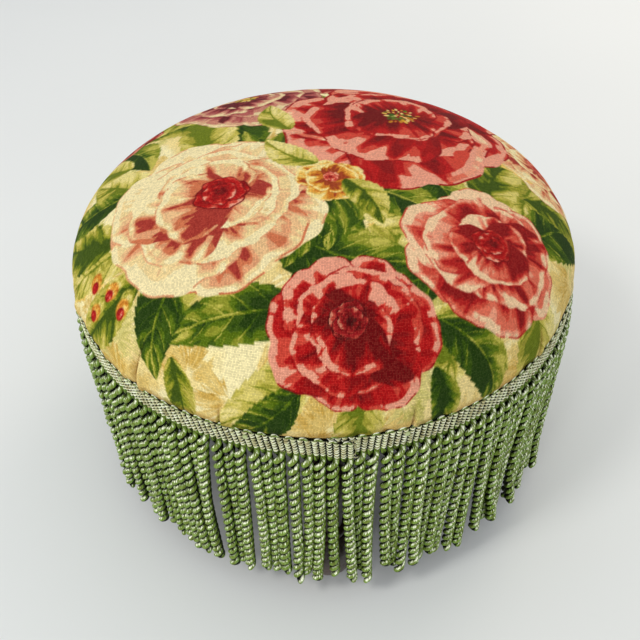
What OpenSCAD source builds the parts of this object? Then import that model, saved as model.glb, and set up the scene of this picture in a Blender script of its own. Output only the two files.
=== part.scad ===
// Round upholstered footstool: a crowned cushion on a plywood board, a bullion fringe
// hung from a woven header round the rim, and four turned legs bolted in from below.
// The floor is z = 0, the axis of the seat is the z axis, and the front faces -Y.

/* [Cushion] */
// Diameter of the seat over its fringe header
seat_d = 342; // [300:1:400]
// Height of the crown above the top of the header
crown_rise = 70; // [50:1:90]
// Fullness of the crown's shoulder, where 2 is an ellipse
shoulder = 2.6; // [2:0.1:3.2]
// How far the cushion swells out over the header
swell = 2.4; // [0.5:0.1:3.5]
// Height over which it swells
swell_h = 4; // [2:0.5:8]
// Thickness of the wadding over the crown
wadding_top = 8; // [4:1:14]
// Thickness of the wadding pressed against the edge of the board
wadding_side = 3; // [2:0.5:5]
// Distance from the bottom of the board up to the end of the wadding
wadding_stop = 3; // [1:0.5:6]
// Thickness of the printed cover
cover_t = 1; // [0.8:0.1:1.5]
// Width of the cover turned under the board
turn_under = 28; // [24:1:40]
// Clearance between neighbouring layers of the cushion
layer_gap = 0.3; // [0.2:0.05:0.5]

/* [Board] */
// Thickness of the seat board
board_t = 18; // [15:1:25]
// Easing along the top edge of the board
board_ease = 2; // [1:0.5:4]

/* [Dust cover] */
// Distance from the edge of the board in to the edge of the dust cover
dust_margin = 3; // [2:0.5:6]
// Thickness of the dust cover's cloth
dust_t = 0.5; // [0.4:0.05:0.8]
// Width of the dust cover's turned hem
hem_w = 10; // [8:1:14]

/* [Fringe] */
// Drop from the top of the header to the ends of the cords
fringe_drop = 150; // [110:1:160]
// Height of the woven header
header_h = 16; // [12:1:18]
// Thickness of the woven header
header_t = 4.1; // [3.6:0.1:5]
// How far the header stands above the top of the board
header_rise = 2; // [0:0.5:4]
// Rounding of the header's two outer edges
header_round = 1.2; // [0.5:0.1:1.6]
// Length of the lap where the header's ends meet
lap_len = 10; // [6:1:16]
// How far the lapped end stands out from the header
lap_t = 1.6; // [1:0.1:2.5]
// Angle from the middle of the front round to the lap
lap_turn = 3; // [2:1:9]
// Diameter of one twisted cord
cord_d = 6; // [4:0.5:7]
// Least gap between neighbouring cords
cord_gap = 1.45; // [1:0.05:3]
// Length of the rounding at the closed end of a cord
cord_tip = 4; // [2.5:0.5:6]

/* [Legs] */
// Length of a turned leg without its glide
leg_h = 149; // [130:1:190]
// Gap between a bun foot and the cords in front of it
leg_gap = 2.5; // [1.5:0.5:8]
// Widest diameter of the bun foot
bun_d = 37; // [32:1:42]
// Height of the bun foot
bun_h = 38; // [32:1:46]
// Height of the bun's widest line above the base of the leg
bun_mid = 16; // [12:1:20]
// Diameter of the flat base of the leg
base_d = 24; // [22:1:28]
// Diameter of the ankle over the bun and of the fillets beside the bead
ankle_d = 17; // [14:1:20]
// Diameter of the bead over the ankle
bead_d = 25; // [22:1:28]
// Height of the bead
bead_h = 7; // [5:0.5:9]
// Height of each fillet beside the bead
fillet_h = 2; // [1:0.5:3]
// Diameter of the vase-shaped shaft where it is fullest
vase_d = 27; // [22:1:30]
// Where the shaft is fullest, as a share of its length from the bead up
vase_full = 0.58; // [0.4:0.01:0.7]
// Diameter of the neck under the collar
neck_d = 17; // [14:1:20]
// Diameter of the collar that bears against the seat
collar_d = 28; // [24:1:30]
// Height of the collar
collar_h = 12; // [8:1:16]
// Rounding of the collar's lower edge
collar_round = 3; // [1:0.5:5]

/* [Glides] */
// Diameter of a nail-on glide
glide_d = 21; // [18:1:22]
// Thickness of a glide
glide_t = 3; // [2:0.5:5]
// Rounding of a glide's lower edge
glide_round = 1; // [0.4:0.1:1.5]
// Diameter of the glide's nail
nail_d = 2.4; // [2:0.1:3]
// Length of the glide's nail
nail_l = 14; // [10:1:20]

/* [Bolts] */
// Diameter of the hanger bolts
bolt_d = 8; // [6:1:8]
// Length of a bolt inside its leg
bolt_in_leg = 32; // [25:1:40]
// Length of the bolt's pointed end
bolt_point = 7; // [4:1:10]
// Distance from the end of the bolt to the top of its nut
bolt_stop = 2; // [1:0.5:4]
// Diameter of the nut's barrel
barrel_d = 11; // [10:0.5:12]
// Length of the nut's barrel below its flange
barrel_h = 11; // [8:1:12]
// Diameter of the nut's flange
flange_d = 21; // [18:1:24]
// Thickness of the nut's flange
flange_t = 1.5; // [1:0.1:2]
// Clearance round the bolts where they pass through cloth
cloth_clear = 1; // [0.5:0.1:2]
// Radial clearance of a fastener in its hole
fit = 0.1; // [0.05:0.01:0.15]

/* [Staples and pins] */
// Thickness of the staple wire
wire_t = 0.6; // [0.5:0.05:0.7]
// Width of a staple over its legs
staple_w = 10; // [8:0.5:11]
// Length of a staple's legs
staple_leg = 8; // [6:0.5:10]
// Number of cover staples between two legs
cover_staple_n = 6; // [4:1:7]
// Number of dust cover staples between two legs
dust_staple_n = 4; // [3:1:5]
// Number of header pins
pin_n = 12; // [8:4:20]
// Diameter of a header pin
pin_d = 1.2; // [1:0.1:1.5]
// Length of a header pin
pin_l = 16; // [14:0.5:18]
// Diameter of a pin's head
pin_head_d = 3; // [2.5:0.1:4]
// Thickness of a pin's head
pin_head_t = 0.8; // [0.6:0.1:1.2]
// How deep a pin's head is sunk in the header
pin_sink = 0.3; // [0.1:0.1:0.6]

/* [Hidden] */
$fn = 64;

// Angles of the four quarters, anticlockwise from +X
at_right = 0;
at_back = 90;
at_left = 180;
at_front = 270;
quarters = [at_right, at_back, at_left, at_front];

// Heights, stacked up from the floor
leg_top = glide_t + leg_h;
turn_bottom = leg_top + 2 * dust_t;
board_bottom = turn_bottom + cover_t;
board_top = board_bottom + board_t;
header_top = board_top + header_rise;
header_bottom = header_top - header_h;
cord_end = header_top - fringe_drop;
pin_z = (header_top + header_bottom) / 2;

// Radii, from the face of the header inwards
seat_r = seat_d / 2;
header_in = seat_r - header_t;
cover_r = header_in - layer_gap;
wadding_r = cover_r - cover_t - layer_gap;
wadding_in = wadding_r - wadding_side;
board_r = wadding_in - layer_gap;
dust_r = board_r - dust_margin;
cord_r = seat_r;
leg_r = cord_r - cord_d / 2 - leg_gap - bun_d / 2;
cover_staple_r = board_r - turn_under / 2;
dust_staple_r = dust_r - hem_w / 2;

// Heights of the cushion's layers above the header
wadding_rise = crown_rise - cover_t - layer_gap;
core_rise = wadding_rise - wadding_top;

// Cords in one quarter of the fringe, as many as keep the gap
cord_n = floor(PI * cord_r / 2 / (cord_d + cord_gap));

// The seats of the fasteners
nut_depth = flange_t + barrel_h;
bolt_top = board_top - bolt_stop;
hole_spare = 1;

// Points along a quarter of an ellipse from angle a to angle b
function arc(r, z, rr, rz, a, b, n = 6) =
    [for (i = [0:n]) let (t = a + (b - a) * i / n) [r + rr * cos(t), z + rz * sin(t)]];

// Points along an S-curve between two radii
function ease(r1, r2, z1, z2, n = 10) =
    [for (i = [0:n]) [r1 + (r2 - r1) * (1 - cos(180 * i / n)) / 2, z1 + (z2 - z1) * i / n]];

// The crown of one layer, from the header's top edge up to the axis
function crown(r, rise, n = 22) = concat(
    [for (i = [0:4]) let (t = 90 * i / 4)
        [r + swell * sin(t), header_top + swell_h * (1 - cos(t))]],
    [for (i = [1:n]) let (t = 90 * i / n)
        [(r + swell) * pow(cos(t), 2 / shoulder),
         header_top + swell_h + (rise - swell_h) * sin(t)]]);

function reversed(points) = [for (i = [len(points) - 1:-1:0]) points[i]];

// Angles of n like pieces between two neighbouring legs, clear of the legs
function between_legs(start, n, keep_off) =
    [for (i = [0:n - 1]) start + keep_off + (90 - 2 * keep_off) * i / (n - 1)];

function cover_staple_angles() = [for (q = quarters) each between_legs(q, cover_staple_n, 10)];
function dust_staple_angles() = [for (q = quarters) each between_legs(q, dust_staple_n, 14)];
function pin_angles() = [for (i = [0:pin_n - 1]) (i + 0.5) * 360 / pin_n];

module at_legs() {
    for (q = quarters)
        rotate([0, 0, q])
            translate([leg_r, 0, 0])
                children();
}

// One staple, crown down at z, with room for its hole
module staple(r, z, room = 0) {
    wire = wire_t + 2 * room;
    translate([r, 0, z - room]) {
        translate([-wire / 2, -staple_w / 2 - room, 0])
            cube([wire, staple_w + 2 * room, wire]);
        for (side = [-1, 1])
            translate([-wire / 2, side * (staple_w - wire_t) / 2 - wire / 2, 0])
                cube([wire, wire, staple_leg + wire]);
    }
}

module cover_staple_ring(room = 0) {
    for (a = cover_staple_angles())
        rotate([0, 0, a])
            staple(cover_staple_r, turn_bottom, room);
}

module dust_staple_ring(room = 0) {
    for (a = dust_staple_angles())
        rotate([0, 0, a])
            staple(dust_staple_r, leg_top, room);
}

// One header pin, lying along +Z from its head
module pin() {
    cylinder(h = pin_head_t, d = pin_head_d);
    cylinder(h = pin_l, d = pin_d);
}

// The hole for a pin, open at the face of the header
module pin_hole() {
    open_end = pin_sink + hole_spare;
    translate([0, 0, -open_end])
        cylinder(h = open_end + pin_head_t + fit, d = pin_head_d + 2 * fit);
    cylinder(h = pin_l + fit, d = pin_d + 2 * fit);
}

module at_pins() {
    for (a = pin_angles())
        rotate([0, 0, a])
            translate([seat_r - pin_sink, 0, pin_z])
                rotate([0, -90, 0])
                    children();
}

// The plywood board, bored for the nuts
module seat_board() {
    color("burlywood")
        difference() {
            rotate_extrude()
                polygon([[0, board_bottom], [board_r, board_bottom],
                    [board_r, board_top - board_ease], [board_r - board_ease, board_top],
                    [0, board_top]]);
            at_legs() {
                translate([0, 0, board_bottom - hole_spare])
                    cylinder(h = board_t + 2 * hole_spare, d = barrel_d + 2 * fit);
                translate([0, 0, board_top - flange_t])
                    cylinder(h = flange_t + hole_spare, d = flange_d + 2 * fit);
            }
            cover_staple_ring(fit);
            dust_staple_ring(fit);
            at_pins()
                pin_hole();
        }
}

// The foam core with its cut crown
module seat_foam() {
    color("wheat")
        rotate_extrude()
            polygon(concat([[0, board_top], [board_r, board_top]], crown(board_r, core_rise - layer_gap)));
}

// Wadding over the foam and down the edge of the board
module wadding() {
    end_z = board_bottom + wadding_stop;
    color("white")
        difference() {
            rotate_extrude()
                polygon(concat([[wadding_in, end_z], [wadding_r, end_z]],
                    crown(wadding_r, wadding_rise), reversed(crown(wadding_in, core_rise))));
            at_pins()
                pin_hole();
        }
}

// The printed cover, pulled over the rim and turned under the board
module top_cover() {
    under_r = board_r - turn_under;
    color("indianred")
        difference() {
            rotate_extrude()
                polygon(concat([[under_r, turn_bottom]],
                    arc(cover_r - cover_t, turn_bottom + cover_t, cover_t, cover_t, -90, 0),
                    crown(cover_r, crown_rise), reversed(crown(cover_r - cover_t, crown_rise - cover_t)),
                    [[cover_r - cover_t, board_bottom], [under_r, board_bottom]]));
            at_legs()
                translate([0, 0, turn_bottom - hole_spare])
                    cylinder(h = cover_t + 2 * hole_spare, d = bolt_d + 2 * cloth_clear);
            cover_staple_ring(fit);
            dust_staple_ring(fit);
            at_pins()
                pin_hole();
        }
}

module cover_staples() {
    color("silver")
        cover_staple_ring();
}

// Thin cloth that closes the underside, its edge turned in
module dust_cover() {
    color("dimgray")
        difference() {
            rotate_extrude()
                polygon([[0, leg_top], [dust_r, leg_top], [dust_r, turn_bottom],
                    [dust_r - hem_w, turn_bottom], [dust_r - hem_w, leg_top + dust_t],
                    [0, leg_top + dust_t]]);
            at_legs()
                translate([0, 0, leg_top - hole_spare])
                    cylinder(h = 2 * dust_t + 2 * hole_spare, d = bolt_d + 2 * cloth_clear);
            dust_staple_ring(fit);
        }
}

module dust_cover_staples() {
    color("silver")
        dust_staple_ring();
}

// The woven band, with the lap where its two ends meet
module fringe_header() {
    lap_angle = lap_len / seat_r * 180 / PI;
    color("darkseagreen")
        difference() {
            union() {
                rotate_extrude()
                    polygon(concat([[header_in, header_bottom]],
                        arc(seat_r - header_round, header_bottom + header_round,
                            header_round, header_round, -90, 0),
                        arc(seat_r - header_round, header_top - header_round,
                            header_round, header_round, 0, 90),
                        [[header_in, header_top]]));
                rotate([0, 0, at_front + lap_turn])
                    rotate_extrude(angle = lap_angle)
                        translate([seat_r - header_t / 2, header_bottom + header_round])
                            square([header_t / 2 + lap_t, header_h - 2 * header_round]);
            }
            at_pins()
                pin_hole();
        }
}

module header_pins() {
    color("olive")
        at_pins()
            pin();
}

// One bullion cord, hanging from the header to its closed round end
module cord() {
    color("olivedrab")
        rotate_extrude()
            polygon(concat([[0, header_bottom], [0, cord_end]],
                arc(0, cord_end + cord_tip, cord_d / 2, cord_tip, -90, 0),
                [[cord_d / 2, header_bottom]]));
}

// A quarter of the fringe, centred on the given angle
module fringe(middle) {
    for (i = [0:cord_n - 1])
        rotate([0, 0, middle + 90 * ((i + 0.5) / cord_n - 0.5)])
            translate([cord_r, 0, 0])
                cord();
}

module t_nuts() {
    color("gold")
        at_legs()
            translate([0, 0, board_top - nut_depth])
                difference() {
                    union() {
                        cylinder(h = nut_depth, d = barrel_d);
                        translate([0, 0, barrel_h])
                            cylinder(h = flange_t, d = flange_d);
                    }
                    translate([0, 0, -hole_spare])
                        cylinder(h = nut_depth + 2 * hole_spare, d = bolt_d + 2 * fit);
                }
}

module hanger_bolts() {
    bottom = leg_top - bolt_in_leg;
    color("lightsteelblue")
        at_legs()
            rotate_extrude()
                polygon([[0, bottom], [bolt_d / 2, bottom + bolt_point], [bolt_d / 2, bolt_top],
                    [0, bolt_top]]);
}

// The turned outline of a leg, from its base up to its collar
function leg_profile() =
    let (base = glide_t,
         bead_z = base + bun_h + fillet_h,
         vase_z = bead_z + bead_h + fillet_h,
         collar_z = leg_top - collar_h,
         full_z = vase_z + (collar_z - vase_z) * vase_full)
    concat([[0, base]],
        arc(base_d / 2, base + bun_mid, (bun_d - base_d) / 2, bun_mid, -90, 0),
        arc(ankle_d / 2, base + bun_mid, (bun_d - ankle_d) / 2, bun_h - bun_mid, 10, 90, 8),
        [[ankle_d / 2, bead_z]],
        arc(ankle_d / 2, bead_z + bead_h / 2, (bead_d - ankle_d) / 2, bead_h / 2, -90, 90, 10),
        [[ankle_d / 2, vase_z]],
        ease(ankle_d / 2 + fillet_h / 2, vase_d / 2, vase_z, full_z),
        [for (p = ease(vase_d / 2, neck_d / 2, full_z, collar_z)) if (p[1] > full_z) p],
        arc(collar_d / 2 - collar_round, collar_z + collar_round, collar_round, collar_round, -90, 0, 4),
        [[collar_d / 2, leg_top], [0, leg_top]]);

module leg(q) {
    color("goldenrod")
        rotate([0, 0, q])
            translate([leg_r, 0, 0])
                difference() {
                    rotate_extrude()
                        polygon(leg_profile());
                    translate([0, 0, leg_top - bolt_in_leg - hole_spare])
                        cylinder(h = bolt_in_leg + 2 * hole_spare, d = bolt_d + 2 * fit);
                    translate([0, 0, glide_t - hole_spare])
                        cylinder(h = nail_l + 2 * hole_spare, d = nail_d + 2 * fit);
                }
}

// A glide with its nail, driven into the base of a leg
module glide(q) {
    color("saddlebrown")
        rotate([0, 0, q])
            translate([leg_r, 0, 0])
                rotate_extrude()
                    polygon(concat([[0, 0]],
                        arc(glide_d / 2 - glide_round, glide_round, glide_round, glide_round, -90, 0),
                        [[glide_d / 2, glide_t], [nail_d / 2, glide_t], [nail_d / 2, glide_t + nail_l],
                         [0, glide_t + nail_l]]));
}

seat_board();
seat_foam();
wadding();
top_cover();
cover_staples();
dust_cover();
dust_cover_staples();
fringe_header();
header_pins();
fringe(at_front);  // fringe_front
fringe(at_right);  // fringe_right
fringe(at_back);  // fringe_back
fringe(at_left);  // fringe_left
t_nuts();
hanger_bolts();
leg(at_front);  // leg_front
leg(at_right);  // leg_right
leg(at_back);  // leg_back
leg(at_left);  // leg_left
glide(at_front);  // glide_front
glide(at_right);  // glide_right
glide(at_back);  // glide_back
glide(at_left);  // glide_left
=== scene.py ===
"""A round upholstered footstool: printed cushion, woven header, bullion fringe and turned legs."""

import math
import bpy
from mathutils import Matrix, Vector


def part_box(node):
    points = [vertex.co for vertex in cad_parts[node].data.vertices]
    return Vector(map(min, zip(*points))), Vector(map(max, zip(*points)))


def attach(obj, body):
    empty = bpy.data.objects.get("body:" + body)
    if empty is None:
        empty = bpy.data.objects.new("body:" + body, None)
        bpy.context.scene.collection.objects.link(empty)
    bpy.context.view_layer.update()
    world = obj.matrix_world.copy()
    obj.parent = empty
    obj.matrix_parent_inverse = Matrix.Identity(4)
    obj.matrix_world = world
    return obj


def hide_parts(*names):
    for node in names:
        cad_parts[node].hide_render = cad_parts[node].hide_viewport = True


bl_info = {
    "name": "Fringed Footstool",
    "version": (1, 0, 0),
    "blender": (4, 5, 0),
    "location": "3D View > Sidebar > Footstool",
    "description": "Dresses the footstool's frame with its printed cushion, fringe and finishes",
    "category": "Object",
}

import bpy
import numpy as np
from bpy.props import FloatProperty, FloatVectorProperty, IntProperty, PointerProperty
from mathutils import Matrix, Vector

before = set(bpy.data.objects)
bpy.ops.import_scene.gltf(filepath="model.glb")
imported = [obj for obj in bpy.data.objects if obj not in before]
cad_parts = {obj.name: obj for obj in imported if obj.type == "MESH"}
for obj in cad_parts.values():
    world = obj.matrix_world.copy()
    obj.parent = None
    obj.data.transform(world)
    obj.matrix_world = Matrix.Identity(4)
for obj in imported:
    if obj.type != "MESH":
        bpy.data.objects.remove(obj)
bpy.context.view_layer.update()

MM = 0.001
BODY = "root"


def node_corners(node):
    """A CAD node's lowest and highest corners, in millimetres."""
    return [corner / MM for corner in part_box(node)]


# Sizes read from the frame, in millimetres
COVER_LOW, COVER_HIGH = node_corners("top_cover")
HEADER_LOW, HEADER_HIGH = node_corners("fringe_header")
CORD_LOW, CORD_HIGH = node_corners("fringe_back")
DUST_LOW, DUST_HIGH = node_corners("dust_cover")
LEG_LOW, LEG_HIGH = node_corners("leg_right")
BOARD_TOP = node_corners("seat_board")[1].z
HEADER_FOOT, HEADER_TOP = HEADER_LOW.z, HEADER_HIGH.z
HEADER_FACE_R = HEADER_HIGH.y
RIM_R = COVER_HIGH.x + 0.5
DUST_R = DUST_HIGH.x
LEG_R = (LEG_LOW.x + LEG_HIGH.x) / 2
SIDES = ("right", "back", "left", "front")


# Colour

def ink(text):
    """An sRGB colour written as six hex digits, as three numbers from 0 to 1."""
    return np.array([int(text[i:i + 2], 16) / 255 for i in (0, 2, 4)])


def inks(words):
    """A palette of inks, from its darkest to its lightest."""
    return np.array([ink(word) for word in words.split()])


def linear(rgb):
    """sRGB values as the scene-linear values that Blender's sockets and attributes hold."""
    rgb = np.asarray(rgb, float)
    return np.where(rgb <= 0.04045, rgb / 12.92, ((rgb + 0.055) / 1.055) ** 2.4)


def rgba(text):
    """A colour written as six hex digits, as a socket's value."""
    return (*linear(ink(text)), 1.0)


def picked(colour, times=1.0):
    """A colour from the settings, made paler if asked, as a socket's value."""
    return (*(min(1, times * part) for part in colour), 1.0)


def colour_property(name, description, default):
    return FloatVectorProperty(name=name, description=description, subtype="COLOR", size=3,
                               min=0, max=1, default=tuple(linear(ink(default))))


def length_property(name, description, default, low, high):
    return FloatProperty(name=name, description=description, subtype="DISTANCE", unit="LENGTH",
                         default=default * MM, min=low * MM, max=high * MM, precision=5)


def power_property(name, description, default):
    return FloatProperty(name=name, description=description, subtype="POWER", unit="POWER",
                         default=default, min=0)


# Sizes and colours a user would change

class FootstoolCoverSettings(bpy.types.PropertyGroup):
    print_seed: IntProperty(name="Print seed", description="Draw of the printed pattern", default=11)
    yarn_pitch: length_property("Yarn pitch", "Distance between yarns of the cotton", 0.85, 0.4, 2)
    pucker: length_property("Pucker", "Height of the puckers over the header", 1.2, 0, 2)
    slack: length_property("Unevenness", "Height of the soft lumps in the crown", 0.7, 0, 3)
    dust_cloth: colour_property("Dust cloth", "Colour of the cloth under the seat", "37373a")


class FootstoolFringeSettings(bpy.types.PropertyGroup):
    cords: IntProperty(name="Cords", description="Number of cords round the seat", default=144)
    lay: length_property("Lay", "Length of one full turn of a cord's twist", 14.0, 8, 20)
    ply_radius: length_property("Ply radius", "Radius of one of a cord's two plies", 1.92, 1, 2.5)
    sway: length_property("Sway", "How far the cords' ends stray sideways", 2.6, 0, 8)
    uneven: length_property("Uneven ends", "How much the cords differ in length", 6.0, 0, 10)
    # The shade colour is painted shade in the yarn's hollows and also its darker filaments; the gleam
    # colour is a painted highlight on faces that look up and in flecks
    shade: colour_property("Yarn shade", "Darkest tone of the yarn", "121e03")
    body: colour_property("Yarn", "Main tone of the yarn", "7a9c3a")
    gleam: colour_property("Yarn gleam", "Lightest tone of the yarn", "fcffe0")
    # The same for the header: shade is painted shade between and behind its yarns, gleam a painted
    # highlight along its threads
    header_shade: colour_property("Header shade", "Darkest tone of the header's yarn", "36461a")
    header_body: colour_property("Header yarn", "Main tone of the header's yarn", "e2edb8")
    header_gleam: colour_property("Header gleam", "Lightest tone of the header's yarn", "fbfbe4")


class FootstoolWoodSettings(bpy.types.PropertyGroup):
    leg_dark: colour_property("Leg grain", "Dark grain of the turned legs", "2c1a0a")
    leg_light: colour_property("Leg wood", "Light wood of the turned legs", "583819")
    board_dark: colour_property("Board grain", "Dark grain of the plywood", "b58a55")
    board_light: colour_property("Board wood", "Light wood of the plywood", "dcbb8a")


class FootstoolStageSettings(bpy.types.PropertyGroup):
    floor: colour_property("Floor", "Colour of the plain floor", "dfe0de")
    key_power: power_property("Key light", "Power of the soft key light", 12)
    window_power: power_property("Window light", "Power of the low light from the front left", 5.5)
    fill_power: power_property("Fill light", "Power of the warm fill light", 6)
    sky: FloatProperty(name="Sky", description="Strength of the even light all round",
                       default=0.79, min=0)
    lens: FloatProperty(name="Lens", description="Focal length on a 36 mm sensor",
                        subtype="DISTANCE_CAMERA", default=40.55, min=10)


SETTINGS = {
    "footstool_cover": FootstoolCoverSettings,
    "footstool_fringe": FootstoolFringeSettings,
    "footstool_wood": FootstoolWoodSettings,
    "footstool_stage": FootstoolStageSettings,
}


# Meshes

def mesh_object(name, points, loops, counts, uv=None, slots=None, smooth=True):
    """An object from points in millimetres, flat face corners and each face's number of corners."""
    mesh = bpy.data.meshes.new(name)
    mesh.vertices.add(len(points))
    mesh.vertices.foreach_set("co", (np.asarray(points) * MM).astype(np.float32).ravel())
    mesh.loops.add(len(loops))
    mesh.loops.foreach_set("vertex_index", np.asarray(loops, np.int32))
    mesh.polygons.add(len(counts))
    starts = np.concatenate([[0], np.cumsum(counts)[:-1]])
    mesh.polygons.foreach_set("loop_start", starts.astype(np.int32))
    mesh.polygons.foreach_set("use_smooth", np.full(len(counts), smooth))
    if slots is not None:
        mesh.polygons.foreach_set("material_index", np.asarray(slots, np.int32))
    mesh.update(calc_edges=True)
    if uv is not None:
        mesh.uv_layers.new(name="fabric").uv.foreach_set("vector", np.asarray(uv, np.float32).ravel())
    obj = bpy.data.objects.new(name, mesh)
    bpy.context.scene.collection.objects.link(obj)
    return obj


def point_value(obj, name, values):
    """Gives each vertex a number that a material can read by name."""
    layer = obj.data.attributes.new(name=name, type="FLOAT", domain="POINT")
    layer.data.foreach_set("value", np.asarray(values, np.float32))


def flat_faces(*sets):
    """Flat face corners and counts, from arrays of faces that each have their own number of corners."""
    return (np.concatenate([faces.ravel() for faces in sets]),
            np.concatenate([np.full(len(faces), faces.shape[1]) for faces in sets]))


def tube_quads(rings, columns):
    """The faces of a tube's wall, whose points run ring by ring."""
    here = np.arange(columns) + columns * np.arange(rings - 1)[:, None]
    beside = np.roll(here, -1, 1)
    return np.stack([here, beside, beside + columns, here + columns], -1).reshape(-1, 4)


def capped_tube(rings, columns):
    """Flat face corners and counts of a tube with closed ends, turned about the seat's axis."""
    first = np.arange(columns)
    last = first[::-1] + (rings - 1) * columns
    return flat_faces(tube_quads(rings, columns)[:, ::-1], np.stack([first, last]))


def unit(v):
    return v / np.maximum(np.linalg.norm(v, axis=-1, keepdims=True), 1e-12)


def sweep(paths, radii, sides):
    """Tubes with closed ends along many paths of equally many points.

    Gives points, face corners, corner counts, a UV pair per corner (turns round, millimetres along)
    and the number of points in one tube."""
    tubes, rings = paths.shape[:2]
    along = unit(np.gradient(paths, axis=1))
    side = np.empty_like(paths)
    across = np.cross(along[:, 0], [0.0, 0.0, 1.0])
    steep = np.linalg.norm(across, axis=-1, keepdims=True) < 1e-3
    side[:, 0] = unit(np.where(steep, np.cross(along[:, 0], [0.3, 1.0, 0.0]), across))
    for i in range(1, rings):
        n, t = side[:, i - 1], along[:, i]
        side[:, i] = unit(n - (n * t).sum(-1, keepdims=True) * t)
    cross = np.cross(along, side)
    turn = 2 * np.pi * np.arange(sides) / sides
    ring = side[:, :, None] * np.cos(turn)[:, None] + cross[:, :, None] * np.sin(turn)[:, None]
    r = np.broadcast_to(np.asarray(radii, float), (tubes, rings))[..., None, None]
    points = (paths[:, :, None] + r * ring).reshape(-1, 3)

    size = rings * sides
    shift = size * np.arange(tubes)[:, None]
    first = np.arange(sides)[::-1] + shift
    last = np.arange(size - sides, size) + shift
    walls = (tube_quads(rings, sides)[None] + shift[..., None]).reshape(-1, 4)
    loops, counts = flat_faces(walls, first, last)

    step = np.linalg.norm(np.diff(paths, axis=1), axis=-1)
    reach = np.concatenate([np.zeros((tubes, 1)), np.cumsum(step, 1)], axis=1)
    i, k = np.divmod(np.arange((rings - 1) * sides), sides)
    u = np.stack([k, k + 1, k + 1, k], 1) / sides
    v = reach[:, np.stack([i, i, i + 1, i + 1], 1)]
    wall_uv = np.stack([np.broadcast_to(u, v.shape), v], -1).reshape(-1, 2)
    uv = np.concatenate([wall_uv, np.full((2 * tubes * sides, 2), 0.5)])
    return points, loops, counts, uv, size


def join_meshes(parts):
    """Joins lists of (points, corners, counts, UV pairs, material slot) into one mesh."""
    points, loops, counts, uvs, slots, shift = [], [], [], [], [], 0
    for p, l, c, uv, slot in parts:
        points.append(p)
        loops.append(l + shift)
        counts.append(c)
        uvs.append(uv)
        slots.append(np.full(len(c), slot))
        shift += len(p)
    return [np.concatenate(x) for x in (points, loops, counts, uvs, slots)]


def polar(radius, angle, height):
    """Points from their distance to the seat's axis, azimuth and height."""
    return np.stack(np.broadcast_arrays(radius * np.cos(angle), radius * np.sin(angle), height), -1)


def outward_and_along(angle):
    """Level unit vectors at an azimuth: away from the seat's axis, and round it."""
    return np.stack([np.cos(angle), np.sin(angle)], -1), np.stack([-np.sin(angle), np.cos(angle)], -1)


def angle_past(azimuth, start):
    """The signed angle by which one azimuth is past another, the short way round."""
    return np.mod(azimuth - start + np.pi, 2 * np.pi) - np.pi


def smoothstep(x):
    """A smooth rise from 0 to 1 as x goes from 0 to 1."""
    x = np.clip(x, 0, 1)
    return x * x * (3 - 2 * x)


# Smooth random values

class Noise:
    """Smooth random values on a plane."""

    def __init__(self, seed, size=64):
        self.table, self.size = np.random.RandomState(seed).rand(size, size), size

    def at(self, x, y):
        """Values from 0 to 1 that change over about one unit."""
        i, j = np.floor(x).astype(int), np.floor(y).astype(int)
        f, g = smoothstep(x - i), smoothstep(y - j)
        n = self.size
        i, j = i % n, j % n
        a, b = self.table[i, j], self.table[(i + 1) % n, j]
        c, d = self.table[i, (j + 1) % n], self.table[(i + 1) % n, (j + 1) % n]
        return (a * (1 - f) + b * f) * (1 - g) + (c * (1 - f) + d * f) * g

    def layered(self, x, y):
        """Three layers of values about zero, each finer and fainter."""
        coarse, middle, fine = self.at(x, y), self.at(2 * x + 9, 2 * y), self.at(4 * x, 4 * y + 5)
        return 0.6 * coarse + 0.27 * middle + 0.13 * fine - 0.5


# The printed cloth

CRIMSON = inks("720208 8e040c a2060c b80e12 d24434 eea084")
BLUSH = inks("a8342a d2744c e6a274 eec08a f3d698 f8e6b0")
MAUVE = inks("661820 96383a b45c56 ca846e deae86 eed6a2")
CORAL = inks("8e0a10 b41a1a d04836 e26e54 ee9c7c f4cca0")
OCHRE = inks("a03c18 c9741c dc9030 e9aa44 f1c866 f7df94")
WINE = inks("4c0408 6a060c 84080e 9c121a b63c30 d8866a")
LEAF_DARK = inks("203c02 365204 587008 8e9228 c2b850")
LEAF_MID = inks("3e5404 6c7a10 9c9a2a c0b24a dccc6e")
LEAF_PALE = inks("6c7a12 a29c32 c8ba52 decd70 eddc8c")
GHOST = inks("bc8f30 d2a84c e4c472")
SAGE = inks("a09c3c bcb45a d8cc7a")
GROUND = inks("ecca74 f4dc94 faebb2")
ANTHERS = inks("dca428 eac258 c4821e 587820 3c5c14 f0d884")

# Rings of petals from the outside in: how many, and how far out, how large and how wide each is
FULL = ((6, .55, .56, 1.15), (5, .38, .46, 1.25), (4, .22, .36, 1.3))
OPEN = ((6, .56, .55, 1.15), (5, .36, .46, 1.2), (4, .18, .34, 1.25))
BUD = ((5, .55, .55, 1.1), (4, .32, .42, 1.2))
# Angles in radians: about a turn, and from one tuft or anther to the next on its spiral
TURN = 6.28
GOLDEN_ANGLE, ANTHER_ANGLE = 2.399963, 2.399
ANTHER_COUNT = 46


def band(value, low, high, soft):
    """1 between two values, falling to 0 outside them."""
    return np.clip((value - low) / soft, 0, 1) * np.clip((high - value) / soft, 0, 1)


def toned(tone, palette, soft=0.05):
    """The ink for each tone from 0 to 1: flat steps with narrow blends, as printing screens give."""
    t = np.clip(tone, 0, 0.9999) * len(palette) - 0.5
    k = np.floor(t).astype(int)
    f = np.clip((t - k - 0.5) / (2 * soft) + 0.5, 0, 1)[..., None]
    last = len(palette) - 1
    return palette[np.clip(k, 0, last)] * (1 - f) + palette[np.clip(k + 1, 0, last)] * f


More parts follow.
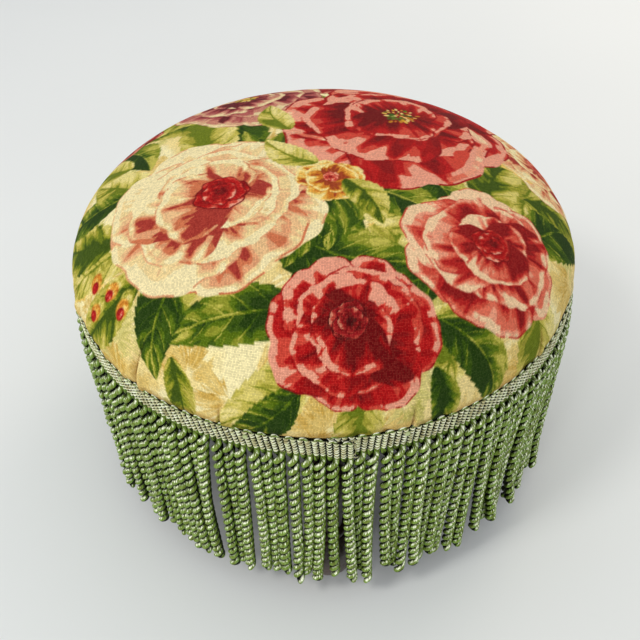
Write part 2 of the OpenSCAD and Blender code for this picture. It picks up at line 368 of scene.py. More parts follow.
class Cloth:
    """A flat printed cloth, painted from the bottom layer up. Lengths are in millimetres."""

    def __init__(self, half, step, seed):
        self.half, self.step = half, step
        line = np.linspace(-half, half, int(round(2 * half / step)) + 1)
        self.x, self.y = np.meshgrid(line, line)
        self.noise = Noise(seed)
        self.random = np.random.RandomState(seed + 1)
        self.rgb = toned(0.55 + 1.5 * self.noise.layered(self.x / 30, self.y / 30), GROUND, 0.25)

    def local(self, x, y, angle, reach):
        """The pixels round a point, with their distances along and across an angle."""
        n = len(self.x)
        low = [int(min(n, max(0, (c - reach + self.half) / self.step))) for c in (y, x)]
        high = [int(min(n, max(0, (c + reach + self.half) / self.step + 2))) for c in (y, x)]
        at = slice(low[0], high[0]), slice(low[1], high[1])
        dx, dy = self.x[at] - x, self.y[at] - y
        c, s = np.cos(angle), np.sin(angle)
        return at, dx * c + dy * s, dy * c - dx * s

    def lay(self, at, mask, colour):
        """Prints a colour over what is there, as strongly as the mask says."""
        self.rgb[at] = self.rgb[at] * (1 - mask[..., None]) + colour * mask[..., None]

    def petal(self, x, y, out, size, wide, palette, tone, lobes, gilt):
        """One petal about (x, y), its tip towards the angle out."""
        at, v, u = self.local(x, y, out, size * 1.35 * max(1, wide))
        if v.size == 0:
            return
        p = self.random.rand(6) * TURN
        turn = np.arctan2(u / wide, v)
        tip = np.clip(1.3 * np.cos(turn / 1.6), 0, 1)
        outline = 1 + 0.05 * np.sin(2 * turn + p[0])
        outline += tip * 0.13 * (np.abs(np.sin(lobes * turn / 1.3 + p[1])) - 0.6)
        outline += tip * 0.018 * np.sin(13 * turn + p[2])
        rho = np.hypot(u / wide, v) / size / outline
        inside = np.clip((1 - rho) * size / self.step, 0, 1)
        spoke, far = np.arctan2(u, v + 1.2 * size), np.hypot(u, v + 1.2 * size) / size
        seed = p[3] * 9
        jag = self.noise.layered(spoke * 7 + seed, far * 0.9 + seed)
        fine = self.noise.layered(spoke * 26 + seed, far * 2.0)
        blotch = self.noise.layered(u / size * 1.2 + seed, v / size * 1.2 + p[4])
        rise = (v / size + 1) / 2
        side = u / size / wide * np.sign(p[5] - 3.14)
        flame = np.clip(rise * 1.7 - 0.8 + 1.2 * jag + 0.2 * fine, 0, 0.55)
        lit = tone + 0.2 + 1.0 * flame + 0.45 * jag + 0.06 * fine + 0.5 * blotch + 0.16 * side
        turned_up = np.cos(turn + 0.8 * np.sign(side)) > 0.35 - jag
        curl = band(rho + 0.3 * blotch, 0.76, 0.93, 0.03) * turned_up
        lit += 0.3 * curl * (1 + 1.5 * jag)
        lit += 0.22 * smoothstep((rho - 0.82) / 0.1) * (rise > 0.35)
        lit = np.where((rho > 0.962) & (jag < 0.05), np.minimum(lit, 0.24 + 0.2 * rise + tone * 0.5), lit)
        self.lay(at, inside, toned(lit, palette))
        if gilt is not None:
            rim = band(rho + 0.25 * blotch, 0.84, 0.965, 0.02) * (turn > -0.3)
            self.lay(at, inside * rim, toned(0.6 + jag, gilt))

    def bloom(self, x, y, r, palette, rings, heart, turn, lift, deep, gilt):
        """Rings of petals laid from the outside in. Gives the place of its heart."""
        for k, (n, out, size, wide) in enumerate(rings):
            push = k / len(rings)
            cx, cy = x + heart[0] * r * push, y + heart[1] * r * push
            start = turn + k * 0.9 + self.random.rand() * 0.4
            for i in self.random.permutation(n):
                a = start + (i + self.random.uniform(-0.2, 0.2)) * 2 * np.pi / n
                o = out * r * self.random.uniform(0.9, 1.1)
                s = size * r * self.random.uniform(0.86, 1.16)
                tone = lift + 0.12 * np.cos(a - 2.3) + self.random.uniform(-0.1, 0.16) - deep * push
                gild = gilt if gilt is not None and self.random.rand() < 0.3 and k < 1 else None
                self.petal(cx + o * np.cos(a), cy + o * np.sin(a), a + self.random.uniform(-0.3, 0.3), s,
                           wide * self.random.uniform(0.9, 1.15), palette, tone,
                           self.random.uniform(2.2, 3.6), gild)
        return x + heart[0] * r, y + heart[1] * r

    def cup(self, x, y, r, palette, tilt):
        """The furled heart of a rose: crescents that close on a dark eye."""
        for k, scale in enumerate((1.0, 0.84, 0.68, 0.52, 0.37, 0.22)):
            a = tilt + k * 2.5
            cx, cy = x + 0.12 * r * np.cos(a), y + 0.12 * r * np.sin(a)
            at, v, u = self.local(cx, cy, a, r * scale * 1.4)
            turn = np.arctan2(u, v * 1.2)
            outline = 1 + 0.06 * np.sin(4 * turn + k) + 0.03 * np.sin(9 * turn)
            rho = np.hypot(u, v * 1.2) / (r * scale) / outline
            jag = self.noise.layered(turn * 2.5 + 7 * k, rho * 1.2 + k)
            tone = 0.05 + 0.62 * rho ** 2 + 0.25 * np.cos(turn) + 0.8 * jag - 0.1 * (k > 3)
            tone = np.where(rho > 0.93, 0.12, tone)
            self.lay(at, np.clip((1 - rho) * r * scale / self.step, 0, 1), toned(tone, palette))

    def stamens(self, x, y, r):
        """Gold and green anthers round the eye of an open bloom."""
        for k in range(ANTHER_COUNT):
            a = k * ANTHER_ANGLE
            d = r * np.sqrt((k + 0.5) / ANTHER_COUNT) * self.random.uniform(0.8, 1.15)
            size = self.random.uniform(0.9, 1.7)
            at, v, u = self.local(x + d * np.cos(a), y + d * np.sin(a), a, 5)
            mask = np.clip((1 - np.hypot(v / (1.7 * size), u / size)) * 3, 0, 1)
            self.lay(at, mask, ANTHERS[self.random.randint(6)])

    def leaf(self, x, y, angle, length, width, palette, bend, veins, dark=0.0, gilt=None):
        """A toothed leaf from its stalk at (x, y), pointing along angle."""
        mid = length / 2
        at, v, u = self.local(x + mid * np.cos(angle), y + mid * np.sin(angle), angle, length * 0.75)
        if v.size == 0:
            return
        v = (v + mid) / length
        u = u - bend * length * 4 * v * (1 - v)
        inner = np.clip(v, 1e-4, 1 - 1e-4)
        side = np.sign(u)
        saw = np.mod(inner * veins * 1.7 + 0.21 * side, 1)
        half = width / 2 * np.sin(np.pi * inner ** 0.8) ** 0.8 * (1 - 0.1 * saw)
        inside = np.clip((half - np.abs(u)) / (1.3 * self.step), 0, 1) * (v > 0) * (v < 1)
        across = np.clip(np.abs(u) / np.maximum(half, 1e-3), 0, 1)
        seed = self.random.rand() * 40
        slant = v - 0.2 * across ** 1.15 * (0.5 + width / length)
        phase = np.mod(slant * veins + 0.17 * side, 1)
        jag = self.noise.layered(slant * veins * 1.4 + seed, across * 1.1 + 3 * side + seed)
        fine = self.noise.layered(slant * veins * 5 + seed, across * 2.6 + side)
        blotch = self.noise.layered(v * 3 + seed, u / width * 2 + seed)
        tone = 0.74 - dark - 0.62 * np.clip(1.25 - 1.2 * v - 0.9 * across, 0, 1)
        tone += 1.3 * jag + 0.3 * fine + 0.6 * blotch
        tone += 0.22 * side * np.cos(angle + 0.9) + 0.1 * (phase - 0.5)
        vein = np.clip(1 - np.abs(phase - 0.06) * 14, 0, 1) * (across < 0.85 + 0.3 * fine)
        rib = np.clip(1.6 - np.abs(u) / (0.55 + 0.5 * (1 - v)), 0, 1)
        tone = np.where(np.maximum(vein, rib) > 0.5, tone + (0.4 if dark > 0.2 else -0.34), tone)
        tone = np.where(across > 0.95, tone - 0.15, tone)
        self.lay(at, inside, toned(tone, palette))
        if gilt is not None:
            rim = (across + 0.5 * blotch > 0.84) * (v > 0.35)
            self.lay(at, inside * rim, toned(0.65 + jag, gilt))

    def hip(self, x, y, r, angle):
        """A round fruit with its pale husk."""
        for push, size, palette in ((-1.1, 0.9, LEAF_PALE), (0, 1.0, OCHRE), (0.5, 0.62, CRIMSON)):
            at, v, u = self.local(x + push * r * np.cos(angle), y + push * r * np.sin(angle), angle, r * 2)
            rho = np.hypot(v * 0.85, u) / (r * size)
            tone = 0.75 - 0.4 * rho + self.noise.layered(u * 0.8 + x, v * 0.5)
            self.lay(at, np.clip((1 - rho) * 4, 0, 1), toned(tone, palette))

    def tuft(self, x, y, angle, size, palette, strength):
        """A fan of pale brush strokes, the ghost foliage of the ground."""
        at, v, u = self.local(x, y, angle, size)
        if v.size == 0:
            return
        seed = self.random.rand() * 60
        r = np.hypot(u, v) / size
        turn = np.arctan2(u, v) + 0.5 * r * np.sign(np.sin(seed))
        stroke = self.noise.layered(turn * 7 + seed, r * 1.1 + seed)
        fine = self.noise.layered(turn * 17 + seed, r * 2.2)
        edge = np.clip(np.cos(turn * 0.85), 0, 1) ** 0.5 * (0.66 + 1.0 * stroke)
        mask = np.clip((edge - r) * size / 1.2, 0, 1) * np.clip((r - 0.08 + 0.4 * stroke) * 12, 0, 1)
        gap = np.clip((fine + 0.17 + 0.1 * (1 - r)) * 14, 0, 1)
        self.lay(at, mask * gap * strength, toned(0.55 + 1.5 * stroke + 0.3 * r, palette, 0.15))


# Place in millimetres from the middle of the seat, size, palette, rings of petals and palette of the heart
BLOOMS = (
    (-8, 150, 44, WINE, FULL, CORAL), (154, 26, 40, BLUSH, FULL, CORAL),
    (-148, 74, 30, WINE, FULL, CORAL), (18, -142, 42, CRIMSON, FULL, WINE),
    (-52, 96, 50, MAUVE, OPEN, None), (98, -84, 46, CORAL, FULL, CRIMSON),
    (-66, -46, 62, BLUSH, FULL, CRIMSON), (50, 44, 72, CRIMSON, OPEN, None),
    (6, -32, 20, OCHRE, BUD, CORAL),
)
# Place of the stalk, direction, length, palette and how dark, for leaves that fill the gaps
LOOSE_LEAVES = (
    (-122, -60, 2.6, 84, LEAF_MID, 0.1), (-126, -20, 2.9, 70, LEAF_DARK, 0.25),
    (-128, 14, 2.3, 74, LEAF_PALE, 0.0), (-104, -92, -2.95, 80, LEAF_MID, 0.15),
    (60, -132, -0.7, 74, LEAF_DARK, 0.3), (-14, -172, -2.7, 58, LEAF_DARK, 0.3),
    (-88, -146, -1.9, 52, LEAF_MID, 0.15), (62, -158, -1.3, 48, LEAF_DARK, 0.2),
    (128, -30, -0.2, 66, LEAF_MID, 0.1), (110, 120, 0.9, 80, LEAF_PALE, 0.05),
)
LEAF_KINDS = ((LEAF_DARK, 0.3), (LEAF_MID, 0.1), (LEAF_PALE, 0.0), (LEAF_DARK, 0.25), (LEAF_PALE, 0.05))
# Place and direction of the fruits, and of the leaves that lie over the blooms
HIPS = ((-128, -96, -2.6), (-142, -84, -2.0), (-120, -110, -2.2), (-146, -102, -2.9))
TOP_LEAVES = ((14, -32, -1.1), (-2, -14, 2.4), (-20, 30, 1.9))
# Tufts of ghost foliage, half the painted cloth's side, and the distance between its dots of colour
TUFTS = 420
CLOTH_HALF, CLOTH_DOT = 215.0, 0.5


def leaves_round(cloth, x, y, size):
    """Six leaves that look out from under a bloom."""
    r = cloth.random
    start = r.rand() * TURN
    for k in range(6):
        a = start + (k + r.uniform(-0.25, 0.25)) * np.pi / 3
        palette, dark = LEAF_KINDS[r.randint(5)]
        length = (0.5 * size + 60) * r.uniform(0.85, 1.15)
        cloth.leaf(x + 0.62 * size * np.cos(a), y + 0.62 * size * np.sin(a), a + r.uniform(-0.5, 0.5),
                   length, length * r.uniform(0.42, 0.56), palette, r.uniform(-0.2, 0.2),
                   r.randint(6, 9), dark, OCHRE[3:] if r.rand() < 0.15 else None)


def painted_cloth(seed):
    """The print: blooms and leaves over ghost foliage, about the middle of the seat, its back at +y."""
    cloth = Cloth(CLOTH_HALF, CLOTH_DOT, seed)
    r = cloth.random
    for k in range(TUFTS):
        a, d = k * GOLDEN_ANGLE, CLOTH_HALF * 1.38 * np.sqrt((k + 0.5) / TUFTS)
        cloth.tuft(d * np.cos(a) + r.uniform(-6, 6), d * np.sin(a) + r.uniform(-6, 6), r.rand() * TURN,
                   r.uniform(22, 44), (GHOST, GHOST, SAGE)[r.randint(3)], r.uniform(0.55, 0.95))
    for x, y, size, *_ in BLOOMS:
        leaves_round(cloth, x, y, size)
    for x, y, a, length, palette, dark in LOOSE_LEAVES:
        gilt = OCHRE[3:] if dark == 0.0 else None
        cloth.leaf(x, y, a, length, 0.46 * length, palette, 0.12, 8, dark, gilt)
    for x, y, a in HIPS:
        cloth.hip(x, y, 6.0, a)
    for k, (x, y, size, palette, rings, heart) in enumerate(BLOOMS):
        lift, deep = (-0.08, 0.05) if palette is BLUSH else (-0.1, 0.03)
        gilt = (CORAL if palette is CRIMSON else OCHRE)[2:] if k % 3 == 1 else None
        middle = 0.1 * np.cos(k), 0.12
        x, y = cloth.bloom(x, y, size, palette, rings, middle, 1.3 * k, lift, deep, gilt)
        if heart is None:
            cloth.stamens(x, y, size * 0.17)
        else:
            cloth.cup(x, y, size * 0.28, heart, 0.8 * k)
    for x, y, a in TOP_LEAVES:
        cloth.leaf(x, y, a, 46, 25, LEAF_PALE if a > 0 else LEAF_MID, 0.1, 6)
    return cloth


def print_at(cloth, x, y):
    """The print's colour at points of the flat cloth, folded back where they pass its edge."""
    last = len(cloth.x) - 1

    def place(value):
        t = (value + cloth.half) / cloth.step
        t = last - np.abs(last - np.abs(t))
        k = np.clip(np.floor(t).astype(int), 0, last - 1)
        return k, np.clip(t - k, 0, 1)[:, None]

    (i, f), (j, g) = place(y), place(x)
    rgb = cloth.rgb
    near = rgb[i, j] * (1 - f) + rgb[i + 1, j] * f
    far = rgb[i, j + 1] * (1 - f) + rgb[i + 1, j + 1] * f
    return near * (1 - g) + far * g


# Shader nodes

# How the nodes are set out in the shader editor
NODE_COLUMNS = 9
NODE_WIDTH, NODE_HEIGHT = 220, 230
# Thickness of one of the board's plies, in millimetres
PLY = 2.0


class Wire:
    """What one socket of a node puts out. Plain arithmetic on it adds math nodes to its tree."""

    def __init__(self, socket):
        self.socket, self.tree = socket, socket.id_data

    def math(self, operation, *others):
        return wire(self.tree, "ShaderNodeMath", dict(enumerate((self, *others))), operation=operation)

    def __add__(self, other):
        return self.math("ADD", other)

    def __sub__(self, other):
        return self.math("SUBTRACT", other)

    def __rsub__(self, other):
        return wire(self.tree, "ShaderNodeMath", {0: other, 1: self}, operation="SUBTRACT")

    def __mul__(self, other):
        return self.math("MULTIPLY", other)

    def times_plus(self, factor, extra):
        return self.math("MULTIPLY_ADD", factor, extra)


def set_inputs(node, inputs):
    """Sets a node's inputs, by name or number, to plain values or links them to wires."""
    for key, value in inputs.items():
        if isinstance(value, Wire):
            node.id_data.links.new(value.socket, node.inputs[key])
        else:
            node.inputs[key].default_value = value


def add(tree, kind, inputs=None, **settings):
    """A new node with its settings and inputs."""
    node = tree.nodes.new(kind)
    row, column = divmod(len(tree.nodes), NODE_COLUMNS)
    node.location = (NODE_WIDTH * column, -NODE_HEIGHT * row)
    for key, value in settings.items():
        setattr(node, key, value)
    set_inputs(node, inputs or {})
    return node


def wire(tree, kind, inputs=None, output=0, **settings):
    """One output of a new node."""
    return Wire(add(tree, kind, inputs, **settings).outputs[output])


def mix(factor, a, b, blend="MIX"):
    """Two colours blended by a factor."""
    tree = next(x.tree for x in (factor, a, b) if isinstance(x, Wire))
    return wire(tree, "ShaderNodeMix", {0: factor, 6: a, 7: b}, 2, data_type="RGBA", blend_type=blend)


def multiplied(colour, value):
    """A colour times a value, place by place."""
    grey = wire(colour.tree, "ShaderNodeCombineColor", {0: value, 1: value, 2: value})
    return mix(1.0, colour, grey, "MULTIPLY")


def between(value, low, high, new_low=0.0, new_high=1.0):
    """A smooth step from one number to another as a value passes from low to high."""
    inputs = {0: value, 1: low, 2: high, 3: new_low, 4: new_high}
    return wire(value.tree, "ShaderNodeMapRange", inputs, interpolation_type="SMOOTHSTEP")


def axes(vector):
    """The three parts of a vector."""
    return [Wire(socket) for socket in add(vector.tree, "ShaderNodeSeparateXYZ", {0: vector}).outputs]


def sized(vector, scale):
    """A vector times one number."""
    return wire(vector.tree, "ShaderNodeVectorMath", {0: vector, 3: scale}, operation="SCALE")


def clouds(vector, fineness, detail=2.0, rough=0.5):
    """Cloudy values from 0 to 1, each axis with its own fineness."""
    stretched = wire(vector.tree, "ShaderNodeMapping", {"Vector": vector, "Scale": fineness})
    inputs = {"Vector": stretched, "Scale": 1.0, "Detail": detail, "Roughness": rough}
    return wire(vector.tree, "ShaderNodeTexNoise", inputs)


def bump(height, depth):
    """A normal from a height, with the relief's depth in metres."""
    return wire(height.tree, "ShaderNodeBump", {"Strength": 1.0, "Distance": depth, "Height": height})


def object_vector(tree):
    return wire(tree, "ShaderNodeTexCoord", output="Object")


def uv_vector(tree):
    return wire(tree, "ShaderNodeUVMap", uv_map="fabric")


def group(name, numbers, colours, outputs):
    """A new shader node group that takes a vector, numbers with their defaults, and colours.

    Gives the wires that come into it, by name, and the node that takes its results."""
    tree = bpy.data.node_groups.new(name, "ShaderNodeTree")

    def socket(label, way, kind):
        return tree.interface.new_socket(name=label, in_out=way, socket_type="NodeSocket" + kind)

    socket("Vector", "INPUT", "Vector")
    for label, default in numbers.items():
        socket(label, "INPUT", "Float").default_value = default
    for label in colours:
        socket(label, "INPUT", "Color")
    for label in outputs:
        socket(label, "OUTPUT", "Color" if label == "Color" else "Float")
    given = tree.nodes.new("NodeGroupInput").outputs
    wires = {label: Wire(given[label]) for label in ("Vector", *numbers, *colours)}
    return wires, tree.nodes.new("NodeGroupOutput")


def use_group(tree, name, inputs):
    """Places a node group in a material, and gives its outputs by name."""
    node = add(tree, "ShaderNodeGroup", inputs, node_tree=bpy.data.node_groups[name])
    return {socket.name: Wire(socket) for socket in node.outputs}


def plain_weave_group():
    """Over-and-under yarns: their height, and how far each yarn's tone strays."""
    given, out = group("Plain Weave", {"Yarns": 1250.0, "Slub": 0.5}, (), ("Height", "Tone"))
    flat = given["Vector"]
    stray = (clouds(flat, (90, 90, 90), 3.0) - 0.5) * 0.9
    x, y = (part * given["Yarns"] + stray for part in axes(flat)[:2])
    warp, weft = ((part * math.pi).math("SINE").math("ABSOLUTE") for part in (x, y))
    column, row = x.math("FLOOR"), y.math("FLOOR")
    over = (column + row).math("ABSOLUTE").math("MODULO", 2.0)
    under = 1.0 - over
    raised = warp * over * weft + weft * under * warp
    cell = wire(flat.tree, "ShaderNodeCombineXYZ", {0: column, 1: row})
    speck = wire(flat.tree, "ShaderNodeTexWhiteNoise", {"Vector": cell}, noise_dimensions="2D")
    slubs = (clouds(flat, (40, 700, 1)) + clouds(flat, (700, 40, 1))) * given["Slub"]
    set_inputs(out, {"Height": raised.math("POWER", 0.6), "Tone": speck * 0.5 + slubs})


def twisted_yarn_group():
    """Filaments that run slantwise round a ply: their colour, height and gloss.

    Depth is 0 in the hollows and 1 on the outside, and Rise is highest where light falls from above.
    The colour holds painted shade, the Shade colour and near black in the hollows, and painted
    highlights, the Gleam colour on faces that look up and in flecks."""
    numbers = {"Filaments": 9.0, "Slant": 66.0, "Tint": 0.5, "Depth": 1.0, "Rise": 0.0}
    given, out = group("Twisted Yarn", numbers, ("Shade", "Body", "Gleam"), ("Color", "Height", "Gloss"))
    around, along, _ = axes(given["Vector"])
    strand = (around + along * given["Slant"]) * given["Filaments"]
    path = wire(strand.tree, "ShaderNodeCombineXYZ", {0: strand, 1: along * 90.0})
    bundle = clouds(path, (1, 1, 1), 2.0, 0.6)
    ridge = bundle * 0.65 + clouds(path, (3.2, 1.4, 1), 2.0, 0.6) * 0.5
    tone = given["Tint"].times_plus(0.16, ridge.times_plus(1.9, -0.52))
    # Depth lifts the tone, so the hollows fall to the Shade colour: painted shade
    tone = given["Depth"].times_plus(0.8, tone)
    browner = mix(1.0, given["Body"], (0.8, 0.62, 0.55, 1.0), "MULTIPLY")
    strands = mix(between(bundle, 0.42, 0.58), browner, given["Body"])
    low = mix(between(tone, 0.78, 1.34), given["Shade"], strands)
    # Painted highlights: Gleam in flecks, and where Rise says the surface looks up
    glint = clouds(path, (1.6, 7.0, 1), 1.0).times_plus(1.1, tone)
    glint = given["Rise"].times_plus(1.6, glint)
    lit = mix(between(glint, 2.6, 2.8), low, given["Gleam"])
    crest = between(given["Depth"], 0.55, 0.9, 0.0, 0.4)
    # The colour is also dimmed to near black as Depth falls: painted shade in the hollows
    set_inputs(out, {
        "Color": multiplied(lit, between(given["Depth"], 0.26, 0.84, 0.004, 1.0)),
        "Height": ridge,
        "Gloss": crest * between(ridge, 0.3, 0.7),
    })


def wood_grain_group():
    """Long grain with pores: colour, height and roughness."""
    given, out = group("Wood Grain", {"Scale": 1.0}, ("Dark", "Light"), ("Color", "Height", "Roughness"))
    path = sized(given["Vector"], given["Scale"])
    rings = axes(path)[0] * 150.0 + clouds(path, (18, 18, 4)) * 7.0
    wave = rings.math("SINE").times_plus(0.5, 0.5)
    pore = between(clouds(path, (900, 900, 45), 2.0, 0.6), 0.56, 0.7)
    streak = clouds(path, (260, 260, 8), 3.0, 0.6)
    base = mix(between(wave * 0.45 + streak * 0.6, 0.25, 0.8), given["Dark"], given["Light"])
    set_inputs(out, {
        "Color": mix(pore * 0.45, base, given["Dark"]),
        "Height": streak * 0.3 - pore,
        "Roughness": pore.times_plus(0.25, 0.34),
    })


def scuffs_group():
    """Fine scratches and dull patches: a mask and a height."""
    given, out = group("Scuffs", {"Scale": 1.0}, (), ("Mask", "Height"))
    path = sized(given["Vector"], given["Scale"])
    patch = clouds(path, (120, 120, 120), 4.0, 0.6)
    scratch = between(clouds(path, (2600, 240, 500)), 0.6, 0.72)
    dull = between(patch, 0.45, 0.75).math("MAXIMUM", scratch)
    set_inputs(out, {"Mask": dull, "Height": patch - scratch})


def felted_fibres_group():
    """Matted fibres: height and tone."""
    given, out = group("Felted Fibres", {"Scale": 1.0}, (), ("Height", "Tone"))
    path = sized(given["Vector"], given["Scale"])
    curl = {"Vector": path, "Scale": 420.0, "Detail": 4.0, "Distortion": 2.4}
    matted = wire(path.tree, "ShaderNodeTexNoise", curl)
    height = clouds(path, (160, 160, 160), 5.0, 0.65) * 0.6 + matted * 0.5
    set_inputs(out, {"Height": height, "Tone": matted})


# Materials

def material(name):
    """A new material and its node tree."""
    made = bpy.data.materials.new(name)
    made.use_nodes = True
    return made, made.node_tree


def shaded(made, inputs):
    """The material, once its Principled shader has these inputs."""
    shader = next(node for node in made.node_tree.nodes if node.type == "BSDF_PRINCIPLED")
    set_inputs(shader, inputs)
    return made


def printed_cotton(pitch):
    """The cover's cotton: the print with painted light on the raised yarns of its weave and painted shade
    in the gaps, varied by each yarn's own tone, and the tips of its yarns left bare.
    """
    made, tree = material("printed_cotton")
    printed = wire(tree, "ShaderNodeVertexColor", layer_name="print")
    weave = use_group(tree, "Plain Weave", {"Vector": uv_vector(tree), "Yarns": 1 / pitch, "Slub": 0.35})
    bare = between(weave["Tone"], 0.4, 0.75) * (weave["Height"] * 0.025)
    # Painted light and shade of the weave: raised yarns lighter and the gaps darker, mixed with each yarn's
    # own tone
    light = between(weave["Height"] * 0.4 + weave["Tone"] * 0.5, 0.15, 0.95, 0.6, 1.28)
    return shaded(made, {
        "Base Color": multiplied(mix(bare, printed, rgba("f2e2b4")), light),
        "Roughness": between(weave["Tone"], 0, 1, 0.72, 0.9),
        "Specular IOR Level": 0.08,
        "Normal": bump(weave["Height"], 0.00022),
    })


def twisted_yarn(name, tones, filaments, slant):
    """Yarn in three tones, from its shade to its gleam, that reads tint, depth and rise from the mesh;
    depth and rise place its painted shade and painted highlights.
    """
    made, tree = material(name)
    inputs = {"Vector": uv_vector(tree), "Filaments": filaments, "Slant": slant}
    for label in ("Tint", "Depth", "Rise"):
        inputs[label] = wire(tree, "ShaderNodeAttribute", output="Fac", attribute_name=label.lower())
    inputs.update(zip(("Shade", "Body", "Gleam"), map(picked, tones)))
    yarn = use_group(tree, "Twisted Yarn", inputs)
    return shaded(made, {
        "Base Color": yarn["Color"],
        "Roughness": between(yarn["Height"], 0.2, 0.9, 0.62, 0.4),
        "Specular IOR Level": 0.1,
        "Coat Weight": yarn["Gloss"],
        "Coat Roughness": 0.25,
        "Coat IOR": 1.4,
        "Normal": bump(yarn["Height"], 0.00035),
    })


def woven_cloth(name, dark, light, yarns, rough):
    """Plain cloth with lint on it."""
    made, tree = material(name)
    weave = use_group(tree, "Plain Weave", {"Vector": uv_vector(tree), "Yarns": yarns, "Slub": 0.5})
    lint = use_group(tree, "Felted Fibres", {"Vector": object_vector(tree), "Scale": 0.5})
    tone = weave["Tone"] * 0.6 + lint["Tone"] * 0.4
    return shaded(made, {
        "Base Color": mix(between(tone, 0.2, 0.8), dark, light),
        "Roughness": between(weave["Height"], 0, 1, rough, rough - 0.1),
        "Normal": bump(weave["Height"], 0.0002),
    })


def turned_wood(dark, light):
    """The legs' wood under a thin, scuffed varnish."""
    made, tree = material("leg_wood")
    where = object_vector(tree)
    grain = use_group(tree, "Wood Grain", {"Vector": where, "Scale": 1.0, "Dark": dark, "Light": light})
    worn = use_group(tree, "Scuffs", {"Vector": where, "Scale": 0.4})
    return shaded(made, {
        "Base Color": mix(worn["Mask"] * 0.16, grain["Color"], light),
        "Roughness": worn["Mask"].times_plus(0.14, grain["Roughness"]),
        "Coat Weight": 0.2,
        "Coat Roughness": 0.22,
        "Normal": bump(grain["Height"], 0.00012),
    })


def plywood(dark, light):
    """The board's wood: grain on the flat, and plies round the edge."""
    made, tree = material("plywood")
    where = object_vector(tree)
    lying = {"Vector": where, "Angle": math.pi / 2}
    grain = wire(tree, "ShaderNodeVectorRotate", lying, rotation_type="Y_AXIS")
    face = use_group(tree, "Wood Grain", {"Vector": grain, "Scale": 0.6, "Dark": dark, "Light": light})
    ply = (axes(where)[2] * (math.pi / (PLY * MM))).math("SINE")
    edge = mix(between(ply, -0.4, 0.4), dark, light)
    upward = axes(wire(tree, "ShaderNodeNewGeometry", output="Normal"))[2]
    return shaded(made, {
        "Base Color": mix(between(upward.math("ABSOLUTE"), 0.4, 0.8), edge, face["Color"]),
        "Roughness": face["Roughness"] + 0.3,
        "Normal": bump(face["Height"] + ply * 0.3, 0.00015),
    })


def wadding_felt():
    """Pale matted fibres."""
    made, tree = material("wadding")
    fibres = use_group(tree, "Felted Fibres", {"Vector": object_vector(tree), "Scale": 0.8})
    return shaded(made, {
        "Base Color": mix(between(fibres["Tone"], 0.3, 0.7), rgba("d9d6cc"), rgba("f3f1ea")),
        "Roughness": between(fibres["Height"], 0.2, 0.9, 0.95, 0.85),
        "Normal": bump(fibres["Height"], 0.0012),
    })


def open_foam():
    """Yellowed foam with open cells."""
    made, tree = material("foam")
    where = object_vector(tree)
    cell = wire(tree, "ShaderNodeTexVoronoi", {"Vector": where, "Scale": 900.0}, "Distance")
    tone = cell * 0.7 + clouds(where, (60, 60, 60), 3.0) * 0.5
    return shaded(made, {
        "Base Color": mix(between(tone, 0.2, 0.9), rgba("c9b074"), rgba("efe0ae")),
        "Roughness": between(cell, 0, 1, 0.95, 0.8),
        "Normal": bump(cell, 0.0004),
    })


def scuffed(name, base, dull, metallic, rough):
    """A hard, scuffed surface: wire, plated steel, enamel or moulded plastic."""
    made, tree = material(name)
    worn = use_group(tree, "Scuffs", {"Vector": object_vector(tree), "Scale": 1.0})
    return shaded(made, {
        "Base Color": mix(worn["Mask"], rgba(base), rgba(dull)),
        "Metallic": metallic,
        "Roughness": worn["Mask"].times_plus(0.22, rough),
        "Normal": bump(worn["Height"], 0.00003),
    })


def floor_paint(colour):
    """Matt paint with faint clouds in it."""
    made, tree = material("floor_paint")
    patch = clouds(object_vector(tree), (3, 3, 3), 3.0)
    return shaded(made, {
        "Base Color": mix(patch, picked(colour), picked(colour, 1.04)),
        "Roughness": between(patch, 0, 1, 0.5, 0.65),
    })


def dress(nodes, made):
    """Gives CAD nodes a material in place of their own."""
    for name in nodes:
        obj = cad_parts[name]
        obj.data.materials.clear()
        obj.data.materials.append(made)


def settle(obj, node, slot, *materials):
    """Puts a finished piece on its body, in place of a CAD node."""
    for made in materials:
        obj.data.materials.append(made)
    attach(obj, BODY)
    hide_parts(node)


# The cushion

# The cover narrows between these heights from its widest line to the wall behind the header
SWELL_LOW, SWELL_HIGH = HEADER_TOP - 5.5, HEADER_TOP + 1.0
WALL_R = 166.6
# How square the crown's shoulder is: 2 would be an ellipse
SHOULDER = 2.6
# Inner edge of the cloth turned under the board, and the radius it turns with
TURN_R, TURN_BEND = 134.0, 1.0
# Thickness of the cover, and radius of the foam
SKIN = 0.9
FOAM_R = 161.0
# Squares from the middle of the fine crown to its edge, and how many of them a coarser column spans
GRID_HALF, SKIRT_STEP = 320, 4
COARSE_COLUMNS = 160
CUSHION_SEED = 5
# Azimuth in degrees, height and reach up the cushion of each tuck
TUCKS = (
    (231.0, 2.3, 36.0), (203.0, 1.3, 22.0), (286.0, 1.0, 16.0), (318.0, 1.2, 22.0), (96.0, 1.4, 26.0),
    (20.0, 1.2, 22.0), (250.0, 0.9, 16.0), (338.0, 1.1, 20.0), (152.0, 1.2, 22.0),
)
PUCKERS = 64
# Degrees of azimuth, and how far the cover's lower edge droops over the header there
DROOP = ((250, 262, 275, 290, 330), (0, -1.0, -1.8, -1.0, 0))
# How much faster green and blue darken than red in the painted shade of the cover
PAINTED_SHADE_TINT = (1.0, 1.25, 1.5)


